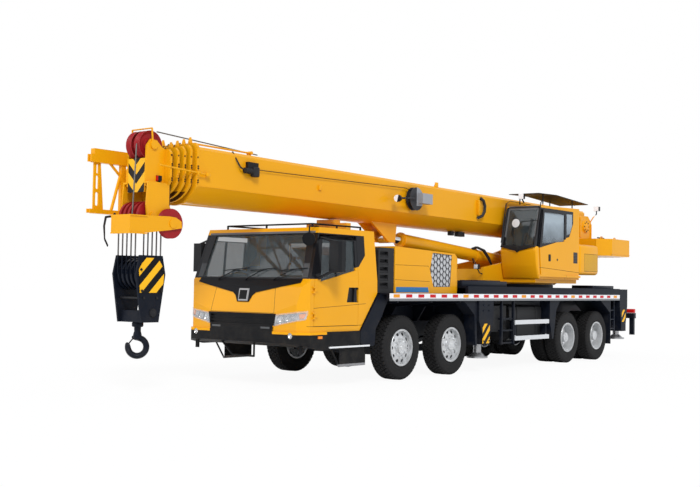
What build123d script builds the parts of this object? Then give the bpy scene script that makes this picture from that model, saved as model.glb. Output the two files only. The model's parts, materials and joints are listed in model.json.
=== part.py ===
from build123d import *
import os
from math import atan2, cos, degrees, hypot, pi, radians, sin, sqrt

# Four-axle truck crane with a five-section telescopic boom, in millimetres.
# Drawing datum: x = 0 at the front axle, +X forward, +Y to the crane's left, z = 0 on the ground.
# save() moves each finished piece, so that the origin lies on the ground below the middle of the crane.

# ---------------------------------------------------------------- driving dimensions
front_reach = 4920.0  # front axle to the foremost point, the guard bar of the boom head
rear_reach = 9400.0  # front axle to the rear face of the tail bar
seat_gap = 0.3  # between pieces that rest on or in each other
slide_gap = 6.0  # between moving pieces that don't carry each other

# wheels and axles
axle_x = (0.0, -1475.0, 3565.0 - rear_reach, 2200.0 - rear_reach)
tyre_r, tyre_width = 522.0, 298.0
bead_r, flange_r = 285.0, 298.0
front_track_y = 1117.0  # middle of a front tyre
rear_track_y = 1151.0  # middle of the outer rear tyre
twin_spacing = 335.0
kingpin_y, kingpin_r = 920.0, 24.0
spindle_r = 44.0
hub_r = 100.0
wheel_z = tyre_r

# chassis
frame_half = 430.0
rail_thick = 90.0
frame_low, frame_top = 640.0, 1500.0
rail_top = 900.0
box_front_x, box_rear_x = -2150.0, 150.0 - rear_reach
arch_clear_z = 790.0  # underside of the frame over the rear axles
cab_rail_top = 819.7
slew_x, slew_r, slew_top = -5750.0, 880.0, 1598.0

# deck
deck_half, deck_top, deck_low = 1390.0, 1535.0, 1278.0
skirt_thick = 60.0
deck_rear_x, deck_step_x = 800.0 - rear_reach, 1230.0 - rear_reach
strip_front_x, strip_top = 540.0, 1401.0
hood_rear_x, hood_front_x, hood_half, hood_top = -1779.0, 150.0, 1200.0, 2160.0
hood_wall = 30.0

# outriggers
housing_wide, housing_high, housing_wall = 490.0, 330.0, 22.0
housing_half_y = 1120.0
beam_wide = 205.0
beam_reach = housing_half_y - 40.0  # how far a stowed beam goes past the middle
jack_y, jack_r, pad_r, pad_thick = housing_half_y + 80.0, 70.0, 187.0, 30.0
# name, middle x, housing floor z, casing low z, casing top z, casing half width, pad low z
outrigger_rows = (
    ("front", -2423.0, 925.0, 500.0, 1272.0, 250.0, 250.0),
    ("rear", 1011.0 - rear_reach, 1160.0, 594.0, 1525.0, 203.0, 415.0),
)

# driver's cab
cab_rear_x, cab_front_x, cab_half = 640.0, 2430.0, 1220.0
cab_low, cab_roof = 820.0, 2370.0
cab_wall = 55.0
cab_belt_z = 1590.0
door_rear_x, door_front_x = 1130.0, 2175.0
door_low, door_high = 905.0, 2265.0
hinge_x, hinge_y, hinge_r = 2178.0, 1234.0, 8.0
hinge_levels = (1060.0, 1440.0)
mirror_out_y = 1560.0

# superstructure
table_low, table_plate = slew_top + seat_gap, 46.0
plate_in, plate_thick = 436.0, 46.0  # turntable side plates, outside the boom
foot_x, foot_z, foot_pin_r = -8300.0, 2950.0, 60.0
barrel_foot_x, barrel_foot_z = -5700.0, 2050.0
rod_eye_x, rod_eye_z = -1200.0, 2390.0
luff_pin_r = 50.0
weight_low, weight_top, weight_half = 2270.0, 2650.0, 1250.0
weight_front_x, weight_rear_x = -7800.0, -9300.0

# operator's cab
op_in, op_out = 500.0, 1262.0
op_front_x, op_rear_x, op_low, op_roof = -4460.0, -6380.0, 1705.0, 3200.0
op_wall = 40.0
op_door_front_x, op_door_rear_x = -4640.0, -5700.0
op_door_low, op_door_high, op_door_thick = 1790.0, 3090.0, 32.0

# boom, drawn along its own axis from the foot pin
boom_angle = 0.5
boom_wall = 10.0
boom_back_u = -330.0
boom_reach = front_reach - foot_x
# half width, top v, bottom v, start u, front u, collar length, collar rise
boom_rows = (
    (400.0, 365.0, -415.0, -120.0, boom_reach - 1080.0, 44.0, 42.0),
    (368.0, 335.0, -385.0, 420.0, boom_reach - 990.0, 42.0, 36.0),
    (336.0, 305.0, -355.0, 520.0, boom_reach - 902.0, 42.0, 36.0),
    (304.0, 275.0, -325.0, 620.0, boom_reach - 814.0, 42.0, 36.0),
    (272.0, 245.0, -295.0, 720.0, boom_reach - 720.0, 42.0, 36.0),
)
pad_length = 260.0
head_plate_in, head_plate_thick = 170.0, 24.0
low_plate_in = 236.0
sheave_r, low_sheave_r, sheave_wide = 200.0, 210.0, 44.0
rope_r = 11.0
top_sheave_x, top_sheave_z = front_reach - 516.0, 3380.0
low_sheave_x, low_sheave_z = front_reach - 480.0, 2400.0
side_sheave_x, side_sheave_z, side_sheave_r = front_reach - 750.0, 2316.0, 205.0

# hook block
block_x, block_top, block_low = low_sheave_x, 1873.0, 970.0
block_half, block_wide = 250.0, 260.0
hook_low = 468.0

side = {"left": 1, "right": -1}
front_axle_x = (rear_reach - front_reach) / 2


# ---------------------------------------------------------------- helpers
def save(piece, name):
    """Writes a finished piece, moved from the drawing datum to the crane's origin."""
    placed = piece.part.moved(Location((front_axle_x, 0, 0)))
    placed.label = name
    export_step(placed, f"parts/{name}.step")


def side_slab(outline, y_low, y_high, mode=Mode.ADD):
    """A slab between two widths, from a side outline of (x, z) points."""
    with BuildSketch(Plane.XZ.offset(-y_high)) as sketch:
        with BuildLine():
            Polyline(*outline, close=True)
        make_face()
    extrude(sketch.sketch, amount=y_high - y_low, mode=mode)


def cross_slab(outline, x_low, x_high, mode=Mode.ADD):
    """A slab between two lengths, from a front outline of (y, z) points."""
    with BuildSketch(Plane.YZ.offset(x_low)) as sketch:
        with BuildLine():
            Polyline(*outline, close=True)
        make_face()
    extrude(sketch.sketch, amount=x_high - x_low, mode=mode)


def plan_slab(outline, z_low, z_high, mode=Mode.ADD):
    """A slab between two heights, from a plan outline of (x, y) points."""
    with BuildSketch(Plane.XY.offset(z_low)) as sketch:
        with BuildLine():
            Polyline(*outline, close=True)
        make_face()
    extrude(sketch.sketch, amount=z_high - z_low, mode=mode)


def block(x_span, y_span, z_span, mode=Mode.ADD):
    """A rectangular block from its spans along the three axes."""
    middle = tuple((low + high) / 2 for low, high in (x_span, y_span, z_span))
    lengths = [abs(high - low) for low, high in (x_span, y_span, z_span)]
    with Locations(middle):
        Box(*lengths, mode=mode)


def rod(start, end, radius, sides=0, mode=Mode.ADD):
    """A round rod between two points, or one with flat sides."""
    run = Vector(*end) - Vector(*start)
    with BuildSketch(Plane(origin=start, z_dir=run)) as sketch:
        if sides:
            RegularPolygon(radius, sides)
        else:
            Circle(radius)
    extrude(sketch.sketch, amount=run.length, mode=mode)


def turned(profile, x, z, mode=Mode.ADD):
    """A ring turned about a crosswise line through (x, z), from (radius, y) points."""
    with BuildSketch(Plane(origin=(x, 0, z), x_dir=(1, 0, 0), z_dir=(0, 0, 1))) as sketch:
        with BuildLine():
            Polyline(*profile, close=True)
        make_face()
    revolve(sketch.sketch, axis=Axis((x, 0, z), (0, 1, 0)), mode=mode)


os.makedirs("parts", exist_ok=True)

# ---------------------------------------------------------------- chassis frame
with BuildPart() as chassis_frame:
    frame_side = [
        (box_front_x, frame_low), (axle_x[2] + 760, frame_low), (axle_x[2] + 620, arch_clear_z),
        (axle_x[3] - 620, arch_clear_z), (axle_x[3] - 760, frame_low), (box_rear_x + 500, frame_low + 40),
        (box_rear_x, frame_low + 250), (box_rear_x, frame_top - 250), (box_rear_x + 300, frame_top),
        (box_front_x, frame_top),
    ]
    side_slab(frame_side, -frame_half, frame_half)
    rail_side = [
        (box_front_x, frame_low), (600, frame_low), (760, 600), (2150, 600), (2150, cab_rail_top),
        (700, cab_rail_top), (500, rail_top), (box_front_x, rail_top),
    ]
    for hand in side.values():
        edges = sorted((hand * (frame_half - rail_thick), hand * frame_half))
        side_slab(rail_side, *edges)
    for cross_x in (1950, 700, -820):
        block((cross_x - 60, cross_x + 60), (-frame_half, frame_half), (frame_low + 10, frame_low + 130))
    with Locations((slew_x, 0, (frame_top - 260 + slew_top) / 2)):
        Cylinder(slew_r, slew_top - frame_top + 260)
    for name, mid_x, floor_z, *_ in outrigger_rows:
        x_span = (mid_x - housing_wide / 2, mid_x + housing_wide / 2)
        z_span = (floor_z - housing_wall, floor_z - housing_wall + housing_high)
        block(x_span, (-housing_half_y, housing_half_y), z_span)
        inner_x = (x_span[0] + housing_wall, x_span[1] - housing_wall)
        inner_z = (floor_z, z_span[1] - housing_wall)
        block(inner_x, (-housing_half_y - 1, housing_half_y + 1), inner_z, mode=Mode.SUBTRACT)
save(chassis_frame, "chassis_frame")

# ---------------------------------------------------------------- deck
with BuildPart() as deck:
    block((deck_step_x, hood_rear_x - 10), (-housing_half_y, housing_half_y), (frame_top, deck_top))
    block((deck_rear_x, deck_step_x - seat_gap), (-housing_half_y, housing_half_y), (frame_top, deck_top))
    for hand in side.values():
        skirt_y = sorted((hand * (deck_half - skirt_thick), hand * deck_half))
        edge_y = sorted((hand * housing_half_y, hand * deck_half))
        block((deck_step_x, hood_rear_x - 10), edge_y, (frame_top, deck_top))
        block((deck_step_x, hood_rear_x - 10), skirt_y, (deck_low, frame_top))
        block((hood_rear_x - 10, strip_front_x), skirt_y, (deck_low, strip_top))
        front_y = sorted((hand * 600, hand * deck_half))
        block((hood_rear_x - 10, strip_front_x), front_y, (strip_top - 21, strip_top))
        for rib_x in (-1650, -760, 215):
            rib = [(340, rail_top), (430, rail_top), (600, 1160), (1332, 1250), (1332, 1381), (340, 1381)]
            cross_slab([(hand * y, z) for y, z in rib], rib_x, rib_x + 40)
        for rib_x in (-2900, -3900, -4900, -6500, -7700):
            block((rib_x, rib_x + 20), sorted((hand * frame_half, hand * 1331)), (deck_low + 20, frame_top))
    with Locations((slew_x, 0, deck_top)):
        Cylinder(slew_r + seat_gap, 2 * (deck_top - deck_low), mode=Mode.SUBTRACT)
save(deck, "deck")

# ---------------------------------------------------------------- side boxes, tank and air intakes
with BuildPart() as side_boxes:
    for hand in side.values():
        # battery and tool boxes between the front outrigger and axle three
        y_span = sorted((hand * (frame_half + seat_gap), hand * 1180))
        tank_in, tank_out = frame_half + seat_gap, 1180
        tank = [(tank_in, 520), (tank_out - 60, 520), (tank_out - 12, 555), (tank_out, 620), (tank_out, 1090),
                (tank_out - 12, 1145), (tank_out - 60, 1180), (tank_in, 1180)]
        cross_slab([(hand * y, z) for y, z in tank], axle_x[2] + 955, -3600)
        strap = [(tank_in + 40, 512), (tank_out - 56, 512), (tank_out - 5, 550), (tank_out + 8, 618), (tank_out + 8, 1092),
                 (tank_out - 5, 1150), (tank_out - 56, 1188), (tank_in + 40, 1188)]
        for strap_x in (axle_x[2] + 1180, -3920):
            cross_slab([(hand * y, z) for y, z in strap], strap_x - 28, strap_x + 28)
        block((-3480, -2760), y_span, (700, 1180))
        # louvred air intake housing between the hood and the cab
        intake_side = [(172, strip_top + seat_gap), (590, strip_top + seat_gap), (590, 2085), (555, 2125), (172, 2125)]
        side_slab(intake_side, *sorted((hand * 620, hand * 1195)))
        for level in range(5):
            low = 1475 + 124 * level
            block((330, 552), sorted((hand * 1140, hand * 1200)), (low, low + 92), mode=Mode.SUBTRACT)
            cross_slab([(hand * 1138, low + 40), (hand * 1188, low + 4), (hand * 1192, low + 22), (hand * 1138, low + 62)],
                       328, 554)
save(side_boxes, "side_boxes")

# ---------------------------------------------------------------- ladders and side rails
with BuildPart() as ladders:
    for hand in side.values():
        for rail_z in (870, 570):
            block((axle_x[2] + 920, -3560), sorted((hand * 1300, hand * 1340)), (rail_z - 40, rail_z + 40))
        for post_x in (axle_x[2] + 975, -3640):
            block((post_x - 20, post_x + 20), sorted((hand * (1180 + seat_gap), hand * 1301)), (540, 900))
        for stile_x in (-3500, -3060):
            block((stile_x - 20, stile_x + 20), sorted((hand * 1300, hand * 1345)), (470, deck_low - seat_gap))
        for rung_z in (495, 725, 940):
            block((-3490, -3070), sorted((hand * 1250, hand * 1330)), (rung_z - 15, rung_z + 15))
save(ladders, "ladders")

# ---------------------------------------------------------------- axles, springs and shafts
with BuildPart() as axles:
    for number, x in enumerate(axle_x[:2]):
        half_beam = [(kingpin_y, 470), (kingpin_y - 60, 470), (kingpin_y - 170, 415), (620, 380), (0, 380),
                     (0, 500), (620, 500), (kingpin_y - 120, 560), (kingpin_y, 570)]
        for hand in side.values():
            cross_slab([(hand * y, z) for y, z in half_beam], x - 45, x + 45)
        for hand in side.values():
            with Locations((x, hand * kingpin_y, wheel_z)):
                Cylinder(62, 130)
                Cylinder(kingpin_r + seat_gap, 300, mode=Mode.SUBTRACT)
    for x in axle_x[2:]:
        with Locations(Location((x, 0, wheel_z), (90, 0, 0))):
            Cylinder(spindle_r, 2 * (rear_track_y + 60))
            Cylinder(85, 2 * (rear_track_y - twin_spacing - tyre_width / 2 - 20))
        with Locations((x, 0, wheel_z)):
            Sphere(215)
    for x in axle_x:
        seat = 500 if x in axle_x[:2] else 590
        lift = frame_low if x in axle_x[:2] else arch_clear_z
        for hand in side.values():
            spring = [(x - 560, lift - seat_gap), (x - 480, lift - seat_gap), (x - 160, seat + 72), (x + 160, seat + 72),
                      (x + 480, lift - seat_gap), (x + 560, lift - seat_gap), (x + 540, lift - 60), (x + 160, seat),
                      (x - 160, seat), (x - 540, lift - 60)]
            side_slab(spring, *sorted((hand * 345, hand * 425)))
    rod((axle_x[2], 0, 560), (-2004, 0, 590), 45)
    rod((axle_x[3], 0, 545), (axle_x[2], 0, 545), 45)
save(axles, "axles")

# ---------------------------------------------------------------- knuckles and wheels
def build_knuckle(x, hand, name):
    """A forged knuckle: two lugs above and below the beam's end, the pin and the spindle."""
    with BuildPart() as knuckle:
        for low in (-65 - 40 - seat_gap, 65 + seat_gap):
            block((x - 55, x + 55), sorted((hand * (kingpin_y - 40), hand * (kingpin_y + 118))),
                  (wheel_z + low, wheel_z + low + 40))
        block((x - 55, x + 55), sorted((hand * (kingpin_y + 68), hand * (kingpin_y + 118))),
              (wheel_z - 105, wheel_z + 105))
        with Locations((x, hand * kingpin_y, wheel_z)):
            Cylinder(kingpin_r, 230)
        rod((x, hand * (kingpin_y + 100), wheel_z), (x, hand * (front_track_y + 90), wheel_z), spindle_r)
    save(knuckle, name)


def tyre_profile(y, hand):
    """Half section of a tyre about y, out to the tips of its lugs, as (radius, y) points."""
    half = tyre_width / 2
    shape = [(bead_r + seat_gap, 0.79), (flange_r + 6, 0.82), (385, 1.0), (455, 1.0), (503, 0.9), (tyre_r, 0.74)]
    near = [(r, y - hand * half * w) for r, w in shape]
    far = [(r, y + hand * half * w) for r, w in reversed(shape)]
    return near + far


def rim_profile(y, hand, hub_face, hub_back):
    """Section of a steel rim about y: barrel, two flanges and the disc, as (radius, y) points.

    hub_face and hub_back are how far the disc's middle stands outside the tyre's middle."""
    barrel = [
        (bead_r - 14, y - hand * 136), (flange_r, y - hand * 136), (flange_r, y - hand * 124),
        (bead_r, y - hand * 122), (bead_r, y + hand * 122), (flange_r, y + hand * 124),
        (flange_r, y + hand * 136), (bead_r - 14, y + hand * 136),
        (bead_r - 14, y + hand * 70), (175, y + hand * hub_face), (hub_r - 2, y + hand * hub_face),
        (hub_r - 2, y + hand * hub_back), (165, y + hand * hub_back), (bead_r - 14, y + hand * 50),
    ]
    return barrel


for axle_number, x in enumerate(axle_x, start=1):
    for side_name, hand in side.items():
        tag = f"{axle_number}_{side_name}"
        with BuildPart() as rim:
            if axle_number <= 2:
                turned(rim_profile(hand * front_track_y, hand, 112, 98), x, wheel_z)
                hub = [(spindle_r + seat_gap, hand * (front_track_y - 70)), (hub_r, hand * (front_track_y - 70)),
                       (hub_r, hand * (front_track_y + 140)), (0, hand * (front_track_y + 140)),
                       (0, hand * (front_track_y + 96)), (spindle_r + seat_gap, hand * (front_track_y + 96))]
                hole_y = front_track_y + 60
            else:
                inner_y = rear_track_y - twin_spacing
                turned(rim_profile(hand * rear_track_y, -hand, 167, 153), x, wheel_z)
                turned(rim_profile(hand * inner_y, hand, 167.5, 153), x, wheel_z)
                hub = [(spindle_r + seat_gap, hand * (inner_y + 40)), (hub_r, hand * (inner_y + 40)),
                       (hub_r, hand * (rear_track_y + 95)), (0, hand * (rear_track_y + 95)),
                       (0, hand * (rear_track_y + 66)), (spindle_r + seat_gap, hand * (rear_track_y + 66))]
                hole_y = rear_track_y - 110
            turned(hub, x, wheel_z)
            hole_plane = Plane(origin=(x, hand * hole_y, wheel_z), x_dir=(1, 0, 0), z_dir=(0, 1, 0))
            with BuildSketch(hole_plane) as holes:
                with PolarLocations(222, 10):
                    Circle(25)
            extrude(holes.sketch, amount=90, both=True, mode=Mode.SUBTRACT)
        save(rim, f"rim_{tag}")
        with BuildPart() as tyre:
            if axle_number <= 2:
                turned(tyre_profile(hand * front_track_y, hand), x, wheel_z)
            else:
                turned(tyre_profile(hand * rear_track_y, hand), x, wheel_z)
                turned(tyre_profile(hand * (rear_track_y - twin_spacing), hand), x, wheel_z)
        save(tyre, f"tyre_{tag}")
        if axle_number <= 2:
            build_knuckle(x, hand, f"knuckle_{tag}")

# ---------------------------------------------------------------- outrigger beams and jacks
for name, mid_x, floor_z, case_low, case_top, case_half, pad_low in outrigger_rows:
    for side_name, hand in side.items():
        shift = hand * (beam_wide / 2 + slide_gap)
        beam_top = floor_z + housing_high - 2 * housing_wall - slide_gap
        with BuildPart() as beam:
            block((mid_x + shift - beam_wide / 2, mid_x + shift + beam_wide / 2),
                  sorted((hand * -beam_reach, hand * (housing_half_y + slide_gap + 10))),
                  (floor_z + seat_gap, beam_top))
            casing = [(mid_x - case_half, case_top), (mid_x + case_half, case_top),
                      (mid_x + case_half, floor_z), (mid_x + 120, case_low + 160), (mid_x + 120, case_low),
                      (mid_x - 120, case_low), (mid_x - 120, case_low + 160), (mid_x - case_half, floor_z)]
            side_slab(casing, *sorted((hand * (housing_half_y + slide_gap), hand * 1385)))
            with Locations((mid_x, hand * jack_y, (case_low + case_top) / 2 - 20)):
                Cylinder(jack_r + seat_gap, case_top - case_low, mode=Mode.SUBTRACT)
        save(beam, f"outrigger_beam_{name}_{side_name}")
        with BuildPart() as jack:
            rod((mid_x, hand * jack_y, pad_low + pad_thick), (mid_x, hand * jack_y, case_top - 60), jack_r)
            with Locations((mid_x, hand * jack_y, pad_low + pad_thick / 2)):
                Cylinder(pad_r, pad_thick)
            with Locations((mid_x, hand * jack_y, pad_low + pad_thick + 33)):
                Cone(pad_r - 40, jack_r + 15, 66)
        save(jack, f"jack_{name}_{side_name}")

# ---------------------------------------------------------------- driver's cab
fog_back_x, fog_z, fog_r = 2385.0, 762.0, 46.0
cab_side = [
    (cab_rear_x, 1400), (cab_rear_x + 20, cab_roof), (2010, cab_roof), (2255, cab_belt_z),
    (2350, 1480), (cab_front_x, 1080), (cab_front_x, cab_low), (1090, cab_low),
]
cab_plan = [
    (cab_rear_x - 10, -cab_half), (2270, -cab_half), (2400, -1080), (cab_front_x, -600), (cab_front_x, 600),
    (2400, 1080), (2270, cab_half), (cab_rear_x - 10, cab_half),
]
cab_cross = [
    (-cab_half, cab_low - 1), (-cab_half, cab_belt_z), (-cab_half + 70, cab_roof + 1),
    (cab_half - 70, cab_roof + 1), (cab_half, cab_belt_z), (cab_half, cab_low - 1),
]
windscreen = Plane(origin=(2255, 0, cab_belt_z), x_dir=(0, 1, 0), z_dir=(cab_roof - cab_belt_z, 0, 245))
screen_high = hypot(cab_roof - cab_belt_z, 245)


def cab_outline(inset, mode=Mode.ADD):
    """The cab's side outline, drawn in by the inset, across the full width."""
    with BuildSketch(Plane.XZ) as sketch:
        with BuildLine():
            Polyline(*cab_side, close=True)
        make_face()
        if inset:
            offset(amount=-inset, kind=Kind.INTERSECTION)
    extrude(sketch.sketch, amount=cab_half, both=True, mode=mode)


def door_outline(grow):
    """Side outline of a door opening, grown by the clearance."""
    return [
        (door_rear_x - grow, door_low - grow), (door_front_x + grow, door_low - grow),
        (door_front_x + grow, cab_belt_z - 30), (2010 + grow, door_high + grow),
        (door_rear_x - grow, door_high + grow),
    ]


def screen_pane(grow, thick, shift, mode=Mode.ADD):
    """The windscreen's pane, or its opening, on the slanted front."""
    with BuildSketch(windscreen.offset(shift)) as sketch:
        with BuildLine():
            Polyline((-1040 - grow, 30 - grow), (1040 + grow, 30 - grow),
                     (965 + grow, screen_high - 105 + grow), (-965 - grow, screen_high - 105 + grow), close=True)
        make_face()
    extrude(sketch.sketch, amount=thick, mode=mode)


def cab_form(grow):
    """The cab's outer form, grown all round (or drawn in, below zero), as a part of its own."""
    with BuildPart() as form:
        for number, (plane, outline) in enumerate(((Plane.XZ, cab_side), (Plane.XY, cab_plan), (Plane.YZ, cab_cross))):
            with BuildSketch(plane) as face:
                with BuildLine():
                    Polyline(*outline, close=True)
                make_face()
                offset(amount=grow, kind=Kind.INTERSECTION)
            extrude(face.sketch, amount=3000, both=True, mode=Mode.INTERSECT if number else Mode.ADD)
    return form.part


def front_skin(outline, thick, back_x=2150.0):
    """A plate seated on the cab's front and following its form, from a front outline of (y, z) points."""
    with BuildPart() as skin:
        cross_slab(outline, back_x, cab_front_x + thick + 1)
        add(cab_form(thick), mode=Mode.INTERSECT)
        add(cab_form(seat_gap), mode=Mode.SUBTRACT)
    add(skin.part)


def screen_point(y, v, out):
    """A point on the windscreen: y to the left, v up its slope and out from its plane."""
    return tuple(windscreen.from_local_coords((y, v, out)))


lamp_outline = [(665, 893), (705, 1072), (1205, 1132), (1204, 1085), (1176, 995)]
lamp_inner = [(690, 915), (724, 1054), (1184, 1108), (1183, 1085), (1157, 1010)]

with BuildPart() as cab_solid:
    cab_outline(0)
    plan_slab(cab_plan, cab_low - 1, cab_roof + 1, mode=Mode.INTERSECT)
    cross_slab(cab_cross, cab_rear_x - 20, cab_front_x + 20, mode=Mode.INTERSECT)

with BuildPart() as cab_hollow:
    cab_outline(cab_wall)
    plan_slab([(x, y * (cab_half - cab_wall) / cab_half) for x, y in cab_plan], cab_low - 1, cab_roof + 1,
              mode=Mode.INTERSECT)
    inner_cross = [(y * (cab_half - cab_wall) / cab_half, z) for y, z in cab_cross]
    cross_slab(inner_cross, cab_rear_x - 20, cab_front_x + 20, mode=Mode.INTERSECT)
    block((cab_rear_x, 2180), (-cab_half, cab_half), (cab_low + 70, cab_roof), mode=Mode.INTERSECT)

with BuildPart() as cab_shell:
    add(cab_solid.part)
    add(cab_hollow.part, mode=Mode.SUBTRACT)
    screen_pane(seat_gap, 240, -200, mode=Mode.SUBTRACT)
    for hand in side.values():
        side_slab(door_outline(slide_gap), *sorted((hand * 1000, hand * (cab_half + 10))), mode=Mode.SUBTRACT)
        for level in hinge_levels:
            for low in (level - 50, level + 25):
                block((hinge_x, hinge_x + 45), sorted((hand * 1180, hand * (hinge_y + 14))), (low, low + 25))
                rod((hinge_x, hand * hinge_y, low), (hinge_x, hand * hinge_y, low + 25), 14)
                rod((hinge_x, hand * hinge_y, low - 1), (hinge_x, hand * hinge_y, low + 26), hinge_r + seat_gap,
                    mode=Mode.SUBTRACT)
        # pocket of the headlamp
        with BuildPart(mode=Mode.PRIVATE) as lamp_pocket:
            cross_slab([(hand * y, z) for y, z in lamp_inner], 2240, cab_front_x + 20)
            add(cab_form(-45), mode=Mode.SUBTRACT)
        add(lamp_pocket.part, mode=Mode.SUBTRACT)
    block((cab_rear_x - 20, cab_rear_x + 120), (-600, 600), (1750, 2200), mode=Mode.SUBTRACT)
    # recess behind the grille's slats
    cross_slab([(-672, 918), (672, 918), (690, 1058), (-690, 1058)], cab_front_x - 30, cab_front_x + 20,
               mode=Mode.SUBTRACT)
save(cab_shell, "cab_shell")

with BuildPart() as cab_glass:
    screen_pane(0, 8, -20)
    block((cab_rear_x + 30, cab_rear_x + 38), (-600 + seat_gap, 600 - seat_gap), (1750 + seat_gap, 2200 - seat_gap))
    # headlamp lenses and fog lamps
    for hand in side.values():
        front_skin([(hand * y, z) for y, z in lamp_outline], 12)
        rod((fog_back_x + seat_gap, hand * 981, fog_z), (2428, hand * 981, fog_z), fog_r - seat_gap)
save(cab_glass, "cab_glass")

with BuildPart() as cab_interior:
    floor_z = cab_low + 70 + seat_gap
    block((1180, 2100), (-900, 900), (floor_z, floor_z + 40))
    block((1950, 2100), (-900, 900), (floor_z, 1560))
    for hand in side.values():
        y = hand * 560
        block((1180, 1640), (y - 240, y + 240), (floor_z, 1330))
        block((1060, 1200), (y - 230, y + 230), (1240, 1980))
    wheel_plane = Plane(origin=(1800, -560, 1600), x_dir=(0, 1, 0), z_dir=(-0.55, 0, 0.83))
    rod((1980, -560, 1330), (1800, -560, 1600), 28)
    with BuildSketch(wheel_plane) as steering:
        Circle(225)
        Circle(195, mode=Mode.SUBTRACT)
        Rectangle(400, 40)
    extrude(steering.sketch, amount=24)
save(cab_interior, "cab_interior")

for side_name, hand in side.items():
    with BuildPart() as door:
        side_slab(door_outline(0), *sorted((hand * (cab_half - cab_wall), hand * (cab_half + 4))))
        outer = [(y, z) for y, z in cab_cross]
        cross_slab(outer, cab_rear_x, cab_front_x, mode=Mode.INTERSECT)
        window = [(1190, 1740), (2040, 1560), (1950, 2190), (1190, 2190)]
        side_slab(window, *sorted((hand * 1000, hand * (cab_half + 10))), mode=Mode.SUBTRACT)
        for level in hinge_levels:
            rod((hinge_x, hand * hinge_y, level - 50), (hinge_x, hand * hinge_y, level + 50), hinge_r)
            block((hinge_x - 70, hinge_x), sorted((hand * (cab_half - 10), hand * (hinge_y + 8))),
                  (level - 24, level + 24))
        # handle recess with its grip
        side_slab([(1105, 1262), (1362, 1262), (1322, 1478), (1140, 1478), (1140, 1460), (1105, 1440)],
                  *sorted((hand * (cab_half - 30), hand * (cab_half + 10))), mode=Mode.SUBTRACT)
        side_slab([(1165, 1261), (1235, 1261), (1215, 1479), (1165, 1479)],
                  *sorted((hand * (cab_half - 31), hand * (cab_half - 6))))
        # mirror arms and the housing
        rod((2120, hand * 1190, 1585), (1985, hand * 1430, 1730), 22, sides=8)
        rod((1990, hand * 1145, 2222), (1950, hand * 1430, 2150), 18, sides=8)
        housing = [(1880, mirror_out_y), (1880, 1310), (1935, 1290), (2005, 1350), (2005, mirror_out_y - 40),
                   (1970, mirror_out_y)]
        plan_slab([(x, hand * y) for x, y in housing], 1700, 2160)
    save(door, f"cab_door_{side_name}")

# ---------------------------------------------------------------- front bumper, grille and cowl
with BuildPart() as front_bumper:
    bumper_plan = [(1100, -1245), (2285, -1245), (2425, -1095), (2455, -600), (2455, 600), (2425, 1095),
                   (2285, 1245), (1100, 1245)]
    plan_slab(bumper_plan, 552, cab_low - seat_gap)
    with BuildPart(mode=Mode.PRIVATE) as bumper_side:
        side_slab([(1000, 552), (2050, 552), (2300, 610), (2440, 650), (2500, 819.7), (1000, 819.7)], -1300, 1300)
    add(bumper_side.part, mode=Mode.INTERSECT)
    block((1000, 2200), (-1200, 1200), (540, cab_low), mode=Mode.SUBTRACT)
    for hand in side.values():
        rod((fog_back_x, hand * 981, fog_z), (2480, hand * 981, fog_z), fog_r, mode=Mode.SUBTRACT)
        # step strip, lower rung with its slanted front bar and the panel between
        block((1120, 1850), sorted((hand * 1230, hand * 1262)), (575, 600))
        block((870, 1121), sorted((hand * 1246, hand * 1262)), (575, 600))
        block((940, 1560), sorted((hand * 1205, hand * 1215)), (310, 560))
        rod((930, hand * 1210, 300), (1580, hand * 1210, 300), 15, sides=8)
        rod((1572, hand * 1210, 296), (1760, hand * 1210, 565), 14, sides=8)
        rod((938, hand * 1210, 290), (938, hand * 1210, 570), 14, sides=8)
        # tow eye plate under each fog lamp
        block((2290, 2310), sorted((hand * 1040, hand * 1110)), (500, 640))
    # hanging bar under the middle
    hang = [(2360, -480, 640), (2360, -240, 430), (2360, 210, 430), (2360, 210, 640)]
    for start, end in zip(hang, hang[1:]):
        rod(start, end, 15)
        with Locations(end):
            Sphere(15)
    # panel between the yellow corners, grille frame with its slats
    front_skin([(-640, 815), (640, 815), (650, 888), (-650, 888)], 22)
    front_skin([(-655, 887), (655, 887), (698, 1078), (-698, 1078)], 16)
    for low in (918, 967, 1014):
        cross_slab([(-640, low), (640, low), (648, low + 34), (-648, low + 34)], cab_front_x - 20, cab_front_x + 30,
                   mode=Mode.SUBTRACT)
    # cowl plate under the windscreen with a blank boss at its tip
    front_skin([(-1062, 1600), (-1062, 1540), (-235, 1385), (-175, 1340), (-120, 1243), (120, 1243), (175, 1340),
                (235, 1385), (1062, 1540), (1062, 1600)], 10)
    front_skin([(-90, 1262), (90, 1262), (98, 1440), (-98, 1440)], 26)
    # wipers
    for y in (-640, -60, 520):
        rod(screen_point(y, -14, 12.5), screen_point(y, -14, 40), 15)
        rod(screen_point(y, -14, 32), screen_point(y + 330, 150, 26), 8, sides=6)
        rod(screen_point(y + 40, 128, 14), screen_point(y + 600, 172, 14), 7, sides=6)
        rod(screen_point(y + 330, 150, 30), screen_point(y + 330, 150, 10), 9, sides=6)
    # rails on the roof and the round mirror at its left front corner
    rail_z = cab_roof + 68
    rail_posts = [(690, -900), (1250, -925), (1800, -950), (1800, -100), (1800, 840), (1250, 870), (690, 900)]
    for start, end in zip(rail_posts, rail_posts[1:]):
        rod((*start, rail_z), (*end, rail_z), 13)
    for post in rail_posts:
        rod((*post, cab_roof + seat_gap), (*post, rail_z + 6), 16)
    block((1950, 2000), (1050, 1100), (cab_roof + seat_gap, cab_roof + 24))
    mirror_arm = [(1975, 1075, cab_roof + 16), (2150, 1085, cab_roof + 10), (2168, 1090, 2190)]
    for start, end in zip(mirror_arm, mirror_arm[1:]):
        rod(start, end, 11)
    rod((2160, 1088, 2190), (2184, 1100, 2184), 98)
save(front_bumper, "front_bumper")

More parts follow.
